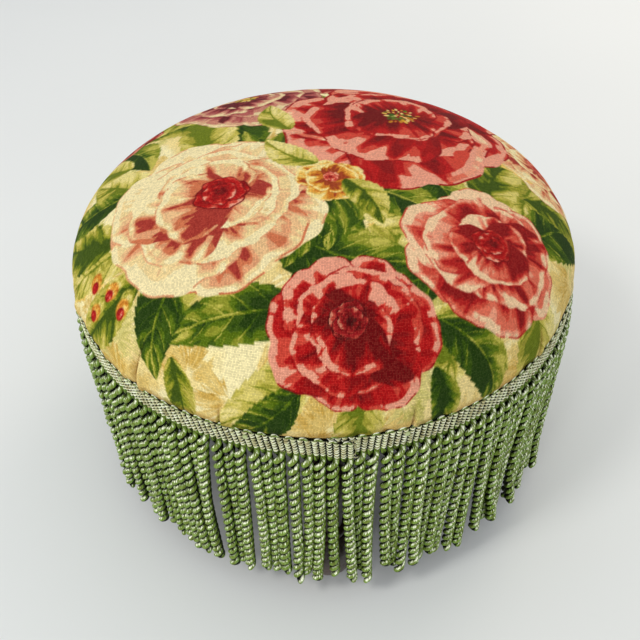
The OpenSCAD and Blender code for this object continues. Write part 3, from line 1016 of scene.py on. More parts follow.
def cushion_profile():
    """Distance along, radius and height of the cover's outline, from the middle of the crown outwards."""
    low = COVER_LOW.z
    t = np.linspace(np.pi / 2, 0, 400)
    crown_r = RIM_R * np.cos(t) ** (2 / SHOULDER)
    crown_z = SWELL_HIGH + (COVER_HIGH.z - SWELL_HIGH) * np.sin(t)
    t = np.linspace(np.pi / 2, 0, 12)[1:]
    swell_r = WALL_R + (RIM_R - WALL_R) * np.sin(t)
    swell_z = SWELL_LOW + (SWELL_HIGH - SWELL_LOW) * (1 - np.cos(t))
    wall_z = np.linspace(SWELL_LOW, low + TURN_BEND, 12)[1:]
    t = np.linspace(0, np.pi / 2, 6)[1:]
    bend_r = WALL_R - TURN_BEND + TURN_BEND * np.cos(t)
    bend_z = low + TURN_BEND - TURN_BEND * np.sin(t)
    under_r = np.linspace(WALL_R - TURN_BEND, TURN_R, 12)[1:]
    r = np.concatenate([crown_r, swell_r, np.full(11, WALL_R), bend_r, under_r])
    z = np.concatenate([crown_z, swell_z, wall_z, bend_z, np.full(11, low)])
    r[0] = 0
    return np.concatenate([[0], np.cumsum(np.hypot(np.diff(r), np.diff(z)))]), r, z


def disc_grid(half):
    """A square grid bent into rings: each point's share of the radius and azimuth, its quads and rim."""
    n = 2 * half
    line = np.linspace(-1, 1, n + 1)
    u, v = np.meshgrid(line, line, indexing="ij")
    wide = np.abs(u) >= np.abs(v)
    safe_u, safe_v = np.where(u == 0, 1, u), np.where(v == 0, 1, v)
    azimuth = np.where(wide, np.pi / 4 * v / safe_u + np.pi * (u < 0),
                       np.pi / 2 - np.pi / 4 * u / safe_v + np.pi * (v < 0))
    share = np.maximum(np.abs(u), np.abs(v))
    p = np.arange((n + 1) ** 2).reshape(n + 1, n + 1)
    quads = np.stack([p[:-1, :-1], p[1:, :-1], p[1:, 1:], p[:-1, 1:]], -1).reshape(-1, 4)
    rim = np.roll(np.concatenate([p[-1, :-1], p[:0:-1, -1], p[0, :0:-1], p[:-1, 0]]), -half)
    return share.ravel(), azimuth.ravel() % (2 * np.pi), quads, rim


def near_edge(below, reach):
    """1 at the header's edge and a little past it, falling to 0 a reach further up the cushion."""
    return smoothstep(1 - below / reach) * (below > -4)


class Skin:
    """The shape of the cushion: a turned outline with unevenness, puckers and tucks."""

    def __init__(self, settings, seed):
        self.length, self.r, self.z = cushion_profile()
        slope = [-np.gradient(self.z, self.length), np.gradient(self.r, self.length)]
        self.normal = unit(np.stack(slope, -1))
        self.edge = self.length[np.argmax(self.z < HEADER_TOP)]
        self.noise = Noise(seed)
        self.slack, self.pucker = settings.slack / MM, settings.pucker / MM
        draw = np.random.RandomState(seed)
        n = PUCKERS
        angle, height = draw.rand(n) * 2 * np.pi, draw.uniform(-0.9, 0.9, n)
        width, reach = draw.uniform(1.6, 4.5, n), draw.uniform(10, 38, n)
        slant = draw.uniform(-0.25, 0.25, n)
        self.folds = np.stack([angle, height, width, reach, slant], -1)

    def relief(self, s, azimuth):
        """How far the cloth stands out from the plain outline, s along it from the middle of the crown."""
        x, y = s * np.cos(azimuth), s * np.sin(azimuth)
        below = self.edge - s
        rise = 1.6 * self.slack * self.noise.layered(x / 46 + 7, y / 46) * smoothstep(below / 25)
        near = smoothstep(1 - below / 42) * (below > -3)
        rise += self.pucker * 0.9 * self.noise.layered(azimuth * 16 / np.pi * 2, s / 60) * near
        for angle, height, width, reach, slant in self.folds:
            across = angle_past(azimuth, angle) * RIM_R - slant * below
            rise += self.pucker * height * np.exp(-(across / width) ** 2) * near_edge(below, reach)
        for across, fade, height in self.tucks(s, azimuth):
            rise += height * fade * 0.9 * np.exp(-((across - 2.3) / 1.9) ** 2)
            rise -= height * fade * 1.35 * np.exp(-(across / 0.8) ** 2)
        return np.clip(rise, -3.0, 2.2 - 0.8 * smoothstep(1 - below / 10))

    def tucks(self, s, azimuth):
        """For each tuck, the distance across it, how strong it is there and its height."""
        below = self.edge - s
        for degrees, height, reach in TUCKS:
            across = angle_past(azimuth, math.radians(degrees)) * RIM_R
            yield across - 0.09 * below, near_edge(below, reach), height

    def painted_shade(self, s, azimuth):
        """How much painted shade darkens the cloth in its tucks and just above the header."""
        # Painted shade along the header's top edge, made uneven by noise
        dark = 0.3 * smoothstep((s - self.edge + 3.5) / 3.5)
        dark *= 1 + 1.6 * self.noise.layered(azimuth * 40 / np.pi, s / 30)
        for across, fade, height in self.tucks(s, azimuth):
            # Painted shade in the slit of each tuck and on its lee side
            slit = min(0.85, 0.3 + 0.3 * height) * np.exp(-((across + 0.1) / 0.95) ** 2)
            lee = 0.14 * height * np.exp(-((across + 2.2) / 2.6) ** 2)
            dark = np.maximum(dark, fade ** 0.6 * np.maximum(slit, lee))
        return np.clip(dark, 0, 0.85)

    def at(self, s, azimuth, inset):
        """Points of the cushion, inset below the outside of its cover."""
        r, z = np.interp(s, self.length, self.r), np.interp(s, self.length, self.z)
        nr, nz = (np.interp(s, self.length, self.normal[:, k]) for k in (0, 1))
        out = self.relief(s, azimuth) - inset
        hang = np.interp(np.degrees(azimuth) % 360, *DROOP)
        low = smoothstep((s - self.edge + 25) / 25) * (1 - smoothstep((s - self.edge - 12) / 6))
        return polar(r + out * nr, azimuth, z + out * nz + hang * low)


def cover_mesh(skin):
    """The cover as one closed mesh: its fine crown, its turned-under edge and a coarser inner skin.

    Gives each point's distance along the cushion, azimuth and depth, then face corners and counts."""
    share, azimuth, quads, rim = disc_grid(GRID_HALF)
    crown_end = skin.edge + 3.0
    columns = len(rim) // SKIRT_STEP
    k = np.arange(columns)
    skirt = np.linspace(crown_end + 1.5, skin.length[-1], 26)
    rings = [(s, 0.0) for s in skirt] + [(s, SKIN) for s in skirt[::-1]]
    start = len(share)
    inside = start + len(rings) * columns
    angle = 2 * np.pi * k / columns
    points = [(share * crown_end, azimuth, np.zeros(start))]
    points += [(np.full(columns, s), angle, np.full(columns, depth)) for s, depth in rings]
    fan = [rim[(SKIRT_STEP * k + m) % len(rim)] for m in range(SKIRT_STEP, -1, -1)]
    bridge = np.stack([start + k, start + (k + 1) % columns, *fan], -1)
    walls = tube_quads(len(rings), columns)[:, ::-1] + start

    share, azimuth, ceiling, rim = disc_grid(columns // 8)
    keep = np.ones(len(share), bool)
    keep[rim] = False
    index = np.empty(len(share), int)
    index[keep] = inside + np.arange(keep.sum())
    index[rim] = inside - columns + k
    points.append((share[keep] * skirt[0], azimuth[keep], np.full(keep.sum(), SKIN)))
    s, angle, depth = (np.concatenate(x) for x in zip(*points))
    return s, angle, depth, *flat_faces(quads, bridge, walls, index[ceiling[:, ::-1]])


def coarse_rings(skin, s, inset):
    """Rings of a coarse surface at distances s along the cushion, inset below its skin."""
    angle = 2 * np.pi * np.arange(COARSE_COLUMNS) / COARSE_COLUMNS
    return np.concatenate([skin.at(np.full(COARSE_COLUMNS, x), angle, y) for x, y in zip(s, inset)])


def make_wadding(skin):
    """Wadding under the cover, from the crown down the edge of the board."""
    edge = skin.edge
    outer_s = np.concatenate([np.linspace(3, edge, 44), edge + np.linspace(2, 14, 5)])
    outer = 2.2 + 1.4 * smoothstep((outer_s - edge + 50) / 20)
    inner_s = outer_s[::-1]
    inner = np.where(inner_s > edge - 6, 4.8, 4.8 + 3.4 * smoothstep((edge - 6 - inner_s) / 30))
    points = coarse_rings(skin, np.concatenate([outer_s, inner_s]), np.concatenate([outer, inner]))
    obj = mesh_object("wadding_layer", points, *capped_tube(2 * len(outer_s), COARSE_COLUMNS))
    settle(obj, "wadding", "wadding", wadding_felt())


def make_foam(skin):
    """Foam cut to the crown, flat on the board."""
    s = np.linspace(3, skin.edge - 4, 40)
    dome = coarse_rings(skin, s, 9.4 + 2.0 * smoothstep((s - skin.edge + 40) / 40))
    dome[:, 2] = np.maximum(dome[:, 2], BOARD_TOP + 1.5)
    dome[:, :2] *= FOAM_R / np.maximum(np.hypot(dome[:, :1], dome[:, 1:2]), FOAM_R)
    foot = dome[-COARSE_COLUMNS:].copy()
    foot[:, 2] = BOARD_TOP + 0.1
    obj = mesh_object("foam_core", np.concatenate([dome, foot]), *capped_tube(len(s) + 1, COARSE_COLUMNS))
    settle(obj, "seat_foam", "foam", open_foam())


class FOOTSTOOL_OT_cover(bpy.types.Operator):
    """Makes the printed cover, pulled over the cushion and turned under the board"""
    bl_idname = "footstool.cover"
    bl_label = "Printed Cover"

    def execute(self, context):
        settings = context.scene.footstool_cover
        skin = Skin(settings, CUSHION_SEED)
        s, angle, depth, loops, counts = cover_mesh(skin)
        flat = np.stack([s * np.cos(angle), s * np.sin(angle)], -1)
        obj = mesh_object("printed_cover", skin.at(s, angle, depth), loops, counts, (flat * MM)[loops])
        cloth = painted_cloth(settings.print_seed)
        colour = np.ones((len(s), 4), np.float32)
        # The print is darkened by painted shade in the tucks and just above the header
        unshaded = (1 - skin.painted_shade(s, angle))[:, None] ** PAINTED_SHADE_TINT
        colour[:, :3] = linear(np.clip(print_at(cloth, *flat.T), 0, 1)) * unshaded
        layer = obj.data.color_attributes.new(name="print", type="FLOAT_COLOR", domain="POINT")
        layer.data.foreach_set("color", colour.ravel())
        settle(obj, "top_cover", "printed_cotton", printed_cotton(settings.yarn_pitch))
        return {"FINISHED"}


class FOOTSTOOL_OT_padding(bpy.types.Operator):
    """Makes the foam core and the wadding inside the cover"""
    bl_idname = "footstool.padding"
    bl_label = "Foam and Wadding"

    def execute(self, context):
        skin = Skin(context.scene.footstool_cover, CUSHION_SEED)
        make_wadding(skin)
        make_foam(skin)
        return {"FINISHED"}


# The header

# Circle that the ribs' middle lines stand on, then each yarn's radius and the sides of its tube
RIB_CENTRE = HEADER_FACE_R - 2.1
RIB_R, RIB_SIDES = 1.08, 10
WEFT_R, WEFT_SIDES = 0.84, 6
# Weft threads and their points for each rib, the tape's bands and sides, and the loose fibres
WEFTS, WEFT_STEPS = 6, 8
TAPE_BANDS, TAPE_SIDES = 293, 12
WHISKS, RISING_WHISKS = 18, 5
# Degrees of azimuth: the first pair of cords, the distance between pairs, and the strip's two ends,
# where 360 is added once the strip has gone past +x. The strip laps itself at the front.
FIRST_PAIR, PAIR_STEP, LAPPED_PAIRS = 271.25, 2.5, 2
STRIP_FROM, STRIP_TO = 270.0, 635.2
# Azimuth in degrees that the strip's upper layer starts from
LAP = 275
HEADER_SEED = 21
# Places along the strip in degrees, and how far its ribs lean and its edge drops there
STRIP_LEAN = ((270, 276, 310, 360, 420, 500, 590, 612, 624, 634),
              (0.05, 0.07, 0.22, 0.15, 0.0, -0.15, -0.28, -0.22, -0.12, 0.0))
STRIP_DROP = ((270, 290, 330, 560, 612, 622, 628, 636), (-1.6, -1.0, 0.0, 0.0, -0.4, -1.6, -3.0, -4.8))
# Material slots of the header's mesh
RIB_YARN, WEFT_YARN, SHADE_TAPE = 0, 1, 2


def strip_place(azimuth):
    """Degrees along the strip's upper layer, which runs on past a full turn."""
    degrees = np.degrees(azimuth) % 360
    return np.where(degrees < LAP, degrees + 360, degrees)


def strip_shape(place):
    """The strip's lean, drop and outward lift at a place along it."""
    lift = 1.7 * smoothstep((place - 629.5) / 3) - 0.8 * (1 - smoothstep((place - 274) / 3))
    return np.interp(place, *STRIP_LEAN), np.interp(place, *STRIP_DROP), lift


def from_tube_middle(points, sides):
    """Where each point of swept tubes lies from the middle of its own ring."""
    ring = points.reshape(-1, sides, 3)
    return (ring - ring.mean(1, keepdims=True)).reshape(-1, 3)


def header_ribs(count, draw):
    """Upright loops of yarn, side by side: their tubes, and the depth and rise of the surface, which place
    painted shade and painted highlights.
    """
    place = FIRST_PAIR + PAIR_STEP * np.arange(count)
    lean, drop, lift = (x[:, None] for x in strip_shape(place))
    arch = HEADER_TOP - 4.7
    up = np.linspace(HEADER_FOOT - 0.4, arch, 30)
    bend = np.linspace(0, np.pi, 11)[1:-1]
    side = np.concatenate([np.full(30, -0.5), -0.5 * np.cos(bend), np.full(30, 0.5)])
    height = np.concatenate([up, arch + 1.75 * np.sin(bend), up[::-1]])
    wander = draw.normal(0, 0.05, count)[:, None]
    leaning = np.degrees(lean * (height - HEADER_FOOT) / HEADER_FACE_R)
    across = place[:, None] + side * PAIR_STEP / 2 + leaning + wander
    tilt = (draw.uniform(-0.3, 0.3, count)[:, None] + 0.6 * np.sign(lean)) * side
    tilt = np.where(height > arch - 1, tilt, 0)
    tucked = 0.25 * smoothstep((height - HEADER_TOP + 9) / 6)
    path = polar(RIB_CENTRE + lift - tucked, np.radians(across), height + drop + tilt)
    ribs = sweep(path, RIB_R, RIB_SIDES)

    points, size = ribs[0], ribs[4]
    out = np.hypot(points[:, 0], points[:, 1]) - np.repeat(RIB_CENTRE + lift[:, 0], size)
    # Depth for painted shade: low on a rib's inner side, and lower below its arch where the wefts cover it
    bare = 0.15 + 0.85 * smoothstep((height - arch + 0.6) / 1.2)
    depth = np.clip((out + 0.9) / 2.0, 0, 1) * np.tile(np.repeat(bare, RIB_SIDES), count)
    # Rise, for painted highlights, is how much each face looks up
    return ribs, depth, unit(from_tube_middle(points, RIB_SIDES))[:, 2]


def header_wefts(draw):
    """Threads woven over and under the ribs: their tubes, and the depth and rise of the surface, which
    place painted shade and painted highlights.
    """
    half_pair = PAIR_STEP / 2
    count = int((STRIP_TO - STRIP_FROM) / half_pair * WEFT_STEPS)
    along = np.linspace(STRIP_FROM, STRIP_TO, count)
    lean, drop, lift = strip_shape(along)
    levels = np.linspace(HEADER_FOOT + 1.0, HEADER_TOP - 4.4, WEFTS)[:, None]
    shifted = along - np.degrees(lean * (levels - HEADER_FOOT) / HEADER_FACE_R)
    wave = np.cos(2 * np.pi * (shifted - FIRST_PAIR - half_pair / 2) / half_pair)
    uneven = 0.12 * np.sin(along * 0.6 + levels * 5)
    level = levels + drop + uneven + draw.normal(0, 0.04, (WEFTS, count))
    path = polar(RIB_CENTRE + lift + 0.25 + 0.85 * wave, np.radians(along), level)
    wefts = sweep(path, WEFT_R, WEFT_SIDES)

    points = wefts[0]
    base = np.repeat(np.tile(RIB_CENTRE + lift, WEFTS), WEFT_SIDES)
    out = np.hypot(points[:, 0], points[:, 1]) - base
    # Depth for painted shade: lower where a thread dips between the ribs and at its upper and lower edges;
    # rise, for painted highlights, is highest along its middle
    edge = np.abs(from_tube_middle(points, WEFT_SIDES)[:, 2]) / 0.73
    return wefts, np.clip((out + 0.5) / 1.4, 0, 1) - 0.38 * edge, 1.03 - 0.9 * edge


def header_tape():
    """The flat tape behind the yarns, coloured near black as painted shade in the holes between the ribs:
    points, corners, counts and UV pairs.
    """
    turn = np.linspace(0, 2 * np.pi, TAPE_SIDES + 1)[:-1]
    section_r = HEADER_FACE_R - 3.7 + 0.3 * np.cos(turn)
    half = (HEADER_TOP - HEADER_FOOT - 5.6) / 2
    section_z = (HEADER_FOOT + HEADER_TOP) / 2 - 2.2 + half * np.clip(1.6 * np.sin(turn), -1, 1)
    place = np.linspace(STRIP_FROM, STRIP_TO, TAPE_BANDS)
    _, drop, lift = strip_shape(place)
    along = np.radians(place)
    radius = section_r + np.maximum(lift, -0.3)[:, None]
    points = polar(radius, along[:, None], section_z + drop[:, None]).reshape(-1, 3)
    loops, counts = capped_tube(TAPE_BANDS, TAPE_SIDES)
    flat = np.stack([np.repeat(along * HEADER_FACE_R, TAPE_SIDES), points[:, 2]], -1)
    return points, loops, counts, flat[loops]


def header_whisks(draw):
    """Loose fibres at the strip's cut end."""
    t = np.linspace(0, 1, 9)
    from_z = draw.uniform(HEADER_FOOT - 3, HEADER_TOP - 5, WHISKS)
    from_z[:RISING_WHISKS] = HEADER_TOP - 5.5
    out = draw.uniform(0.4, 1.6, WHISKS)
    ends = np.radians(LAP + 360 + t * draw.uniform(-0.4, 1.1, WHISKS)[:, None])
    upward, either_way = draw.uniform(1, 4, WHISKS), draw.uniform(-2.2, 2.2, WHISKS)
    climb = np.where(np.arange(WHISKS) < RISING_WHISKS, upward, either_way)
    radius = HEADER_FACE_R + 1.2 + np.sin(t * np.pi) * out[:, None] - 0.6 * t
    return sweep(polar(radius, ends, from_z[:, None] + t * climb[:, None]), 0.13, 5)


class FOOTSTOOL_OT_header(bpy.types.Operator):
    """Weaves the fringe's header: looped ribs crossed by weft threads, lapped at the front"""
    bl_idname = "footstool.header"
    bl_label = "Woven Header"

    def execute(self, context):
        settings = context.scene.footstool_fringe
        count = settings.cords + LAPPED_PAIRS
        draw = np.random.RandomState(HEADER_SEED)
        ribs, rib_depth, rib_rise = header_ribs(count, draw)
        wefts, weft_depth, weft_rise = header_wefts(draw)
        tape = header_tape()
        whisks = header_whisks(draw)
        points, loops, counts, uv, slots = join_meshes([
            (*ribs[:4], RIB_YARN), (*wefts[:4], WEFT_YARN), (*tape, SHADE_TAPE), (*whisks[:4], WEFT_YARN)])
        obj = mesh_object("header_braid", points, loops, counts, uv * [1, MM], slots)
        tint = np.full(len(points), 0.5)
        tint[:len(ribs[0])] = np.repeat(draw.uniform(0.6, 1.3, count), ribs[4])
        # Depth and rise place the yarns' painted shade and painted highlights; the tape and loose fibres
        # get none
        depth = np.clip(np.concatenate([rib_depth, weft_depth]), 0, 1)
        rest = len(points) - len(depth)
        point_value(obj, "tint", tint)
        point_value(obj, "rise", np.concatenate([rib_rise, weft_rise, np.zeros(rest)]))
        point_value(obj, "depth", np.concatenate([depth, np.ones(rest)]))
        cord_tones = settings.shade, settings.body, settings.gleam
        weft_tones = settings.header_shade, settings.header_body, settings.header_gleam
        settle(obj, "fringe_header", "header_braid",
               twisted_yarn("header_rib_yarn", cord_tones, filaments=9.0, slant=90.0),
               twisted_yarn("header_weft_yarn", weft_tones, filaments=5.0, slant=160.0),
               # Near-black tape: painted shade that shows through the holes between the ribs
               woven_cloth("header_tape", rgba("070a03"), rgba("141b0a"), 2200.0, 0.9))
        return {"FINISHED"}


# The fringe

# Circle that the cords hang on
CORD_R = CORD_HIGH.y - 3.0
CORD_SIDES = 8
# Radius of the line that each ply follows round its cord, and the same where it loops at the end
HELIX_R, LOOP_R = 1.88, 2.2
# Rings of a ply's tube in one turn of its twist
TURN_RINGS = 12
FRINGE_SEED = 12
# How close two cords may lie, as a share of their thickness, and how deep one may press in
CLOSENESS, PRESS = 0.88, 1.8
# Levels that the cords are set out on, and rounds of pushing them apart and of smoothing them
LEVELS, APART_ROUNDS, SMOOTH_ROUNDS = 26, 40, 3
# Azimuth in degrees, push sideways and push outwards of the cords whose ends stray most
FLICKS = (
    (213.0, -7.0, 4.0), (216.5, -5.0, 3.0), (227.5, -3.0, 2.5), (266.5, -4.0, 1.0), (287.0, -4.5, 2.0),
    (308.0, 4.0, 2.5), (317.0, 5.0, 3.0), (328.0, 6.0, 4.0), (196.0, -4.0, 2.5), (344.0, 5.0, 3.0),
    (35.0, 4.0, 3.0), (72.0, -4.0, 3.0), (104.0, 4.5, 2.5), (151.0, -5.0, 3.0),
)


def bunches(n, draw):
    """How far each cord closes up on its one to three neighbours, and which stand before the others."""
    closing, before, first = np.zeros(n), np.zeros(n), 0
    while first < n:
        size = min(draw.randint(2, 5), n - first)
        k = np.arange(size)
        closing[first:first + size] = ((size - 1) / 2 - k) * draw.uniform(0.05, 0.3)
        before[first:first + size] = (-1.0) ** (k + draw.randint(2)) * draw.uniform(0.2, 0.8)
        first += size
    return closing, before


def kept_apart(xy, least, free, base):
    """Moves cords that overlap at a level away from each other, and keeps them outside the seat."""
    for _ in range(APART_ROUNDS):
        for reach in (1, 2):
            gap = np.roll(xy, -reach, 0) - xy
            d = np.linalg.norm(gap, axis=-1, keepdims=True)
            push = gap / np.maximum(d, 1e-6) * np.maximum(least - d, 0) * 0.25 * free
            xy -= push
            xy += np.roll(push, reach, 0)
        r = np.linalg.norm(xy, axis=-1, keepdims=True)
        xy *= np.maximum(r, (base - PRESS)[..., None]) / r
    for _ in range(SMOOTH_ROUNDS):
        xy[:, 1:-1] = 0.25 * xy[:, :-2] + 0.5 * xy[:, 1:-1] + 0.25 * xy[:, 2:]
    return xy


def hang_cords(settings, angle, lift, levels, draw):
    """Where each cord's middle line passes each level, from 0 at the header to 1 at the cord's end."""
    n = len(angle)
    sway = settings.sway / MM
    q = levels[None]
    stray = draw.normal(0, 1, n)
    stray = 0.6 * stray + 0.4 * np.roll(stray, 1) + 0.25 * np.roll(stray, 2)
    bow = draw.normal(0, 0.5, n)
    phase = draw.rand(n)[:, None] * 2 * np.pi
    side = sway * (stray[:, None] * q ** 1.3 + bow[:, None] * np.sin(np.pi * q)
                   + 0.2 * np.sin(4.5 * q + phase) * q)
    closing, before = bunches(n, draw)
    side += (closing * math.radians(PAIR_STEP) * CORD_R)[:, None] * q ** 0.7
    forth = 0.35 * draw.normal(0, 1, n) + before
    out = sway * (forth[:, None] * q ** 0.8 + 0.2 * np.sin(3.3 * q + phase) * q)
    flick = smoothstep((levels - 0.72) / 0.28)
    for degrees, aside, away in FLICKS:
        nearest = np.argmin(np.abs(angle_past(angle, math.radians(degrees))))
        side[nearest] += aside * flick
        out[nearest] += away * flick
    base = RIB_CENTRE + lift[:, None] + (CORD_R - RIB_CENTRE) * smoothstep(levels / 0.07)
    outward, along = outward_and_along(angle)
    xy = outward[:, None] * (base + np.maximum(out, -PRESS))[..., None] + along[:, None] * side[..., None]
    least = 2 * (settings.ply_radius / MM + HELIX_R) * CLOSENESS
    free = smoothstep((levels - 0.02) / 0.1)[None, :, None]
    return kept_apart(xy, least, free, base)


def cord_paths(settings, angle, place, draw):
    """Each cord as one tube: down a strand of the twist, round its closed end and up the other strand.

    Also gives each tube's thickness and the line at the middle of its twist."""
    n = len(angle)
    ply = settings.ply_radius / MM
    lay = settings.lay / MM
    _, sunk, lift = strip_shape(place)
    levels = np.linspace(0, 1, LEVELS)
    middle = hang_cords(settings, angle, lift, levels, draw)
    hung_from = HEADER_FOOT + 0.8
    top = (hung_from + sunk)[:, None]
    full = hung_from - CORD_LOW.z - LOOP_R - ply
    drop = (full + settings.uneven / MM * np.clip(draw.normal(0, 0.55, n), -1.2, 1.0))[:, None]
    own_lay = lay * draw.uniform(0.93, 1.08, n)[:, None]
    rings = int(full / lay * TURN_RINGS) + 1
    q = np.linspace(0, 1, rings)
    s = q * drop
    turned = np.maximum(s - draw.uniform(0, 2.5, n)[:, None], 0)
    phase = 2 * np.pi * turned ** 2 / (turned + 2) / own_lay
    xy = np.stack([[np.interp(q, levels, middle[i, :, k]) for i in range(n)] for k in (0, 1)], -1)
    outward, along = (x[:, None] for x in outward_and_along(angle))
    join = math.radians(PAIR_STEP / 4) * HEADER_FACE_R
    parted = (join - HELIX_R) * (1 - smoothstep(s / 4))
    reach = HELIX_R + parted + (LOOP_R - HELIX_R) * smoothstep((s - drop + 4) / 4)

    def about(turn):
        return np.cos(turn)[..., None] * along + np.sin(turn)[..., None] * outward

    def strand(turn):
        return np.concatenate([xy + about(turn) * reach[..., None], (top - s)[..., None]], -1)

    bend = np.linspace(0, np.pi, 11)[1:-1]
    across = xy[:, -1:] + about(phase[:, -1:]) * (LOOP_R * np.cos(bend))[None, :, None]
    loop = np.concatenate([across, (top - drop - LOOP_R * np.sin(bend))[..., None]], -1)
    path = np.concatenate([strand(phase), loop, strand(phase + np.pi)[:, ::-1]], 1)
    core = np.concatenate([xy, np.repeat(xy[:, -1:], len(bend), 1), xy[:, ::-1]], 1)
    m = path.shape[1]
    away = np.minimum(np.arange(m), m - 1 - np.arange(m)) / rings
    thick = ply * (1 - 0.14 * smoothstep((away - 0.97) / 0.03) - 0.1 * (1 - smoothstep(away / 0.03)))
    return path, thick * (1 + 0.03 * draw.normal(0, 1, n)[:, None]), core


def yarn_depth(points, core, start):
    """How open each point of the cords is to the light, 0 between the plies and 1 on the outside: it sets
    the yarn's painted shade.
    """
    away = points[:, :2] - core
    far = np.linalg.norm(away, axis=-1)
    outward = (away * unit(points[:, :2])).sum(-1) / far
    # Sides that face the neighbouring cords get painted shade, as if sheltered
    shelter = 0.5 + 0.5 * smoothstep((outward + 0.35) / 1.0)
    # Just under the header, where the plies part, the painted shade is held back
    bare = 0.6 * (1 - smoothstep((start - 1.5 - points[:, 2]) / 3.5)) * (outward > -0.6)
    return np.maximum(np.clip((far - 1.0) / 2.7, 0, 1) * shelter, bare)


class FOOTSTOOL_OT_fringe(bpy.types.Operator):
    """Hangs the bullion fringe: twisted cords with closed ends, in four quarters"""
    bl_idname = "footstool.fringe"
    bl_label = "Bullion Fringe"

    def execute(self, context):
        settings = context.scene.footstool_fringe
        n = settings.cords
        draw = np.random.RandomState(FRINGE_SEED)
        angle = 2 * np.pi * (np.arange(n) + 0.5) / n
        place = strip_place(angle)
        path, thick, core = cord_paths(settings, angle, place, draw)
        sunk = strip_shape(place)[1]
        tints = draw.uniform(0.1, 0.9, n)
        tones = settings.shade, settings.body, settings.gleam
        yarn = twisted_yarn("fringe_yarn", tones, filaments=9.0, slant=66.0)
        quarter = np.floor(np.mod(angle / (np.pi / 2) + 0.5, 4)).astype(int)
        for k, side in enumerate(SIDES):
            mine = quarter == k
            points, loops, counts, uv, size = sweep(path[mine], thick[mine], CORD_SIDES)
            obj = mesh_object("bullion_" + side, points, loops, counts, uv * [1, MM])
            middle = np.repeat(core[mine].reshape(-1, 2), CORD_SIDES, 0)
            start = np.repeat(HEADER_FOOT + sunk[mine], size)
            point_value(obj, "tint", np.repeat(tints[mine], size))
            # Depth and rise place the yarn's painted shade and painted highlights
            point_value(obj, "depth", yarn_depth(points, middle, start))
            point_value(obj, "rise", unit(from_tube_middle(points, CORD_SIDES))[:, 2])
            settle(obj, "fringe_" + side, "fringe_cord", yarn)
        return {"FINISHED"}


# Underside

HEM = 10.0
CLOTH_THICK = 0.35
FLAT_RINGS, HEM_RINGS = 80, 6
DUST_COLUMNS = 256
DUST_SEED = 4
# Radius of the round holes that the cloth is cut away to over the legs' bolts
LEG_HOLE_R = 5.2


def from_nearest_leg(x, y):
    """Distance from the axis of the nearest leg."""
    turns = [quarter * math.pi / 2 for quarter in range(4)]
    return np.min([np.hypot(x - LEG_R * math.cos(a), y - LEG_R * math.sin(a)) for a in turns], axis=0)


def dust_cloth_points():
    """The dust cover's rings, from its middle out to its edge and back over the hem, sagging a little."""
    low = DUST_LOW.z + 0.22
    flat_r = np.linspace(2, DUST_R - 1.0, FLAT_RINGS)
    fold = np.linspace(-np.pi / 2, np.pi / 2, 6)
    hem_r = np.linspace(DUST_R - 1.2, DUST_R - HEM, HEM_RINGS)
    r = np.concatenate([flat_r, DUST_R - 0.55 + 0.3 * np.cos(fold), hem_r])
    fold_z = low + 0.28 + 0.28 * np.sin(fold)
    z = np.concatenate([np.full(FLAT_RINGS, low), fold_z, np.full(HEM_RINGS, low + 0.56)])
    a = 2 * np.pi * np.arange(DUST_COLUMNS) / DUST_COLUMNS
    points = polar(r[:, None], a, z[:, None]).reshape(-1, 3)

    noise = Noise(DUST_SEED)
    x, y = points[:, 0], points[:, 1]
    out = np.hypot(x, y)
    free = smoothstep((DUST_R - 8 - out) / 30) * smoothstep((from_nearest_leg(x, y) - 15) / 28)
    sag = free * (1.8 + 1.6 * noise.layered(x / 40, y / 40))
    pull = 0.5 * smoothstep((DUST_R - out) / 4) * smoothstep((out - 120) / 30)
    ripple = pull * np.maximum(noise.layered(np.arctan2(y, x) * 14 + 40, out / 80), 0)
    flat = np.arange(len(points)) < FLAT_RINGS * DUST_COLUMNS
    points[:, 2] -= np.where(flat, sag + ripple * (free > 0), 0)
    return points


class FOOTSTOOL_OT_underside(bpy.types.Operator):
    """Stretches the dust cover over the underside, with its edge turned in"""
    bl_idname = "footstool.underside"
    bl_label = "Dust Cover"

    def execute(self, context):
        points = dust_cloth_points()
        quads = tube_quads(len(points) // DUST_COLUMNS, DUST_COLUMNS)
        middle = points[quads].mean(1)
        quads = quads[from_nearest_leg(middle[:, 0], middle[:, 1]) > LEG_HOLE_R]
        loops, counts = flat_faces(quads, np.arange(DUST_COLUMNS)[None, ::-1])
        obj = mesh_object("dust_cloth_sheet", points, loops, counts, points[loops][:, :2] * MM)
        thick = obj.modifiers.new("cloth", "SOLIDIFY")
        thick.thickness = CLOTH_THICK * MM
        thick.offset = 0
        colour = context.scene.footstool_cover.dust_cloth
        settle(obj, "dust_cover", "dust_cloth",
               woven_cloth("dust_cloth", picked(colour), picked(colour, 1.7), 1500.0, 0.92))
        return {"FINISHED"}


# Finishes of the pieces that keep their CAD shapes

class FOOTSTOOL_OT_woodwork(bpy.types.Operator):
    """Finishes the turned legs, the seat board and the glides"""
    bl_idname = "footstool.woodwork"
    bl_label = "Wood"

    def execute(self, context):
        wood = context.scene.footstool_wood
        dress(["leg_" + side for side in SIDES], turned_wood(picked(wood.leg_dark), picked(wood.leg_light)))
        dress(["seat_board"], plywood(picked(wood.board_dark), picked(wood.board_light)))
        dress(["glide_" + side for side in SIDES], scuffed("glide_plastic", "3a2a20", "6a5646", 0.0, 0.38))
        return {"FINISHED"}


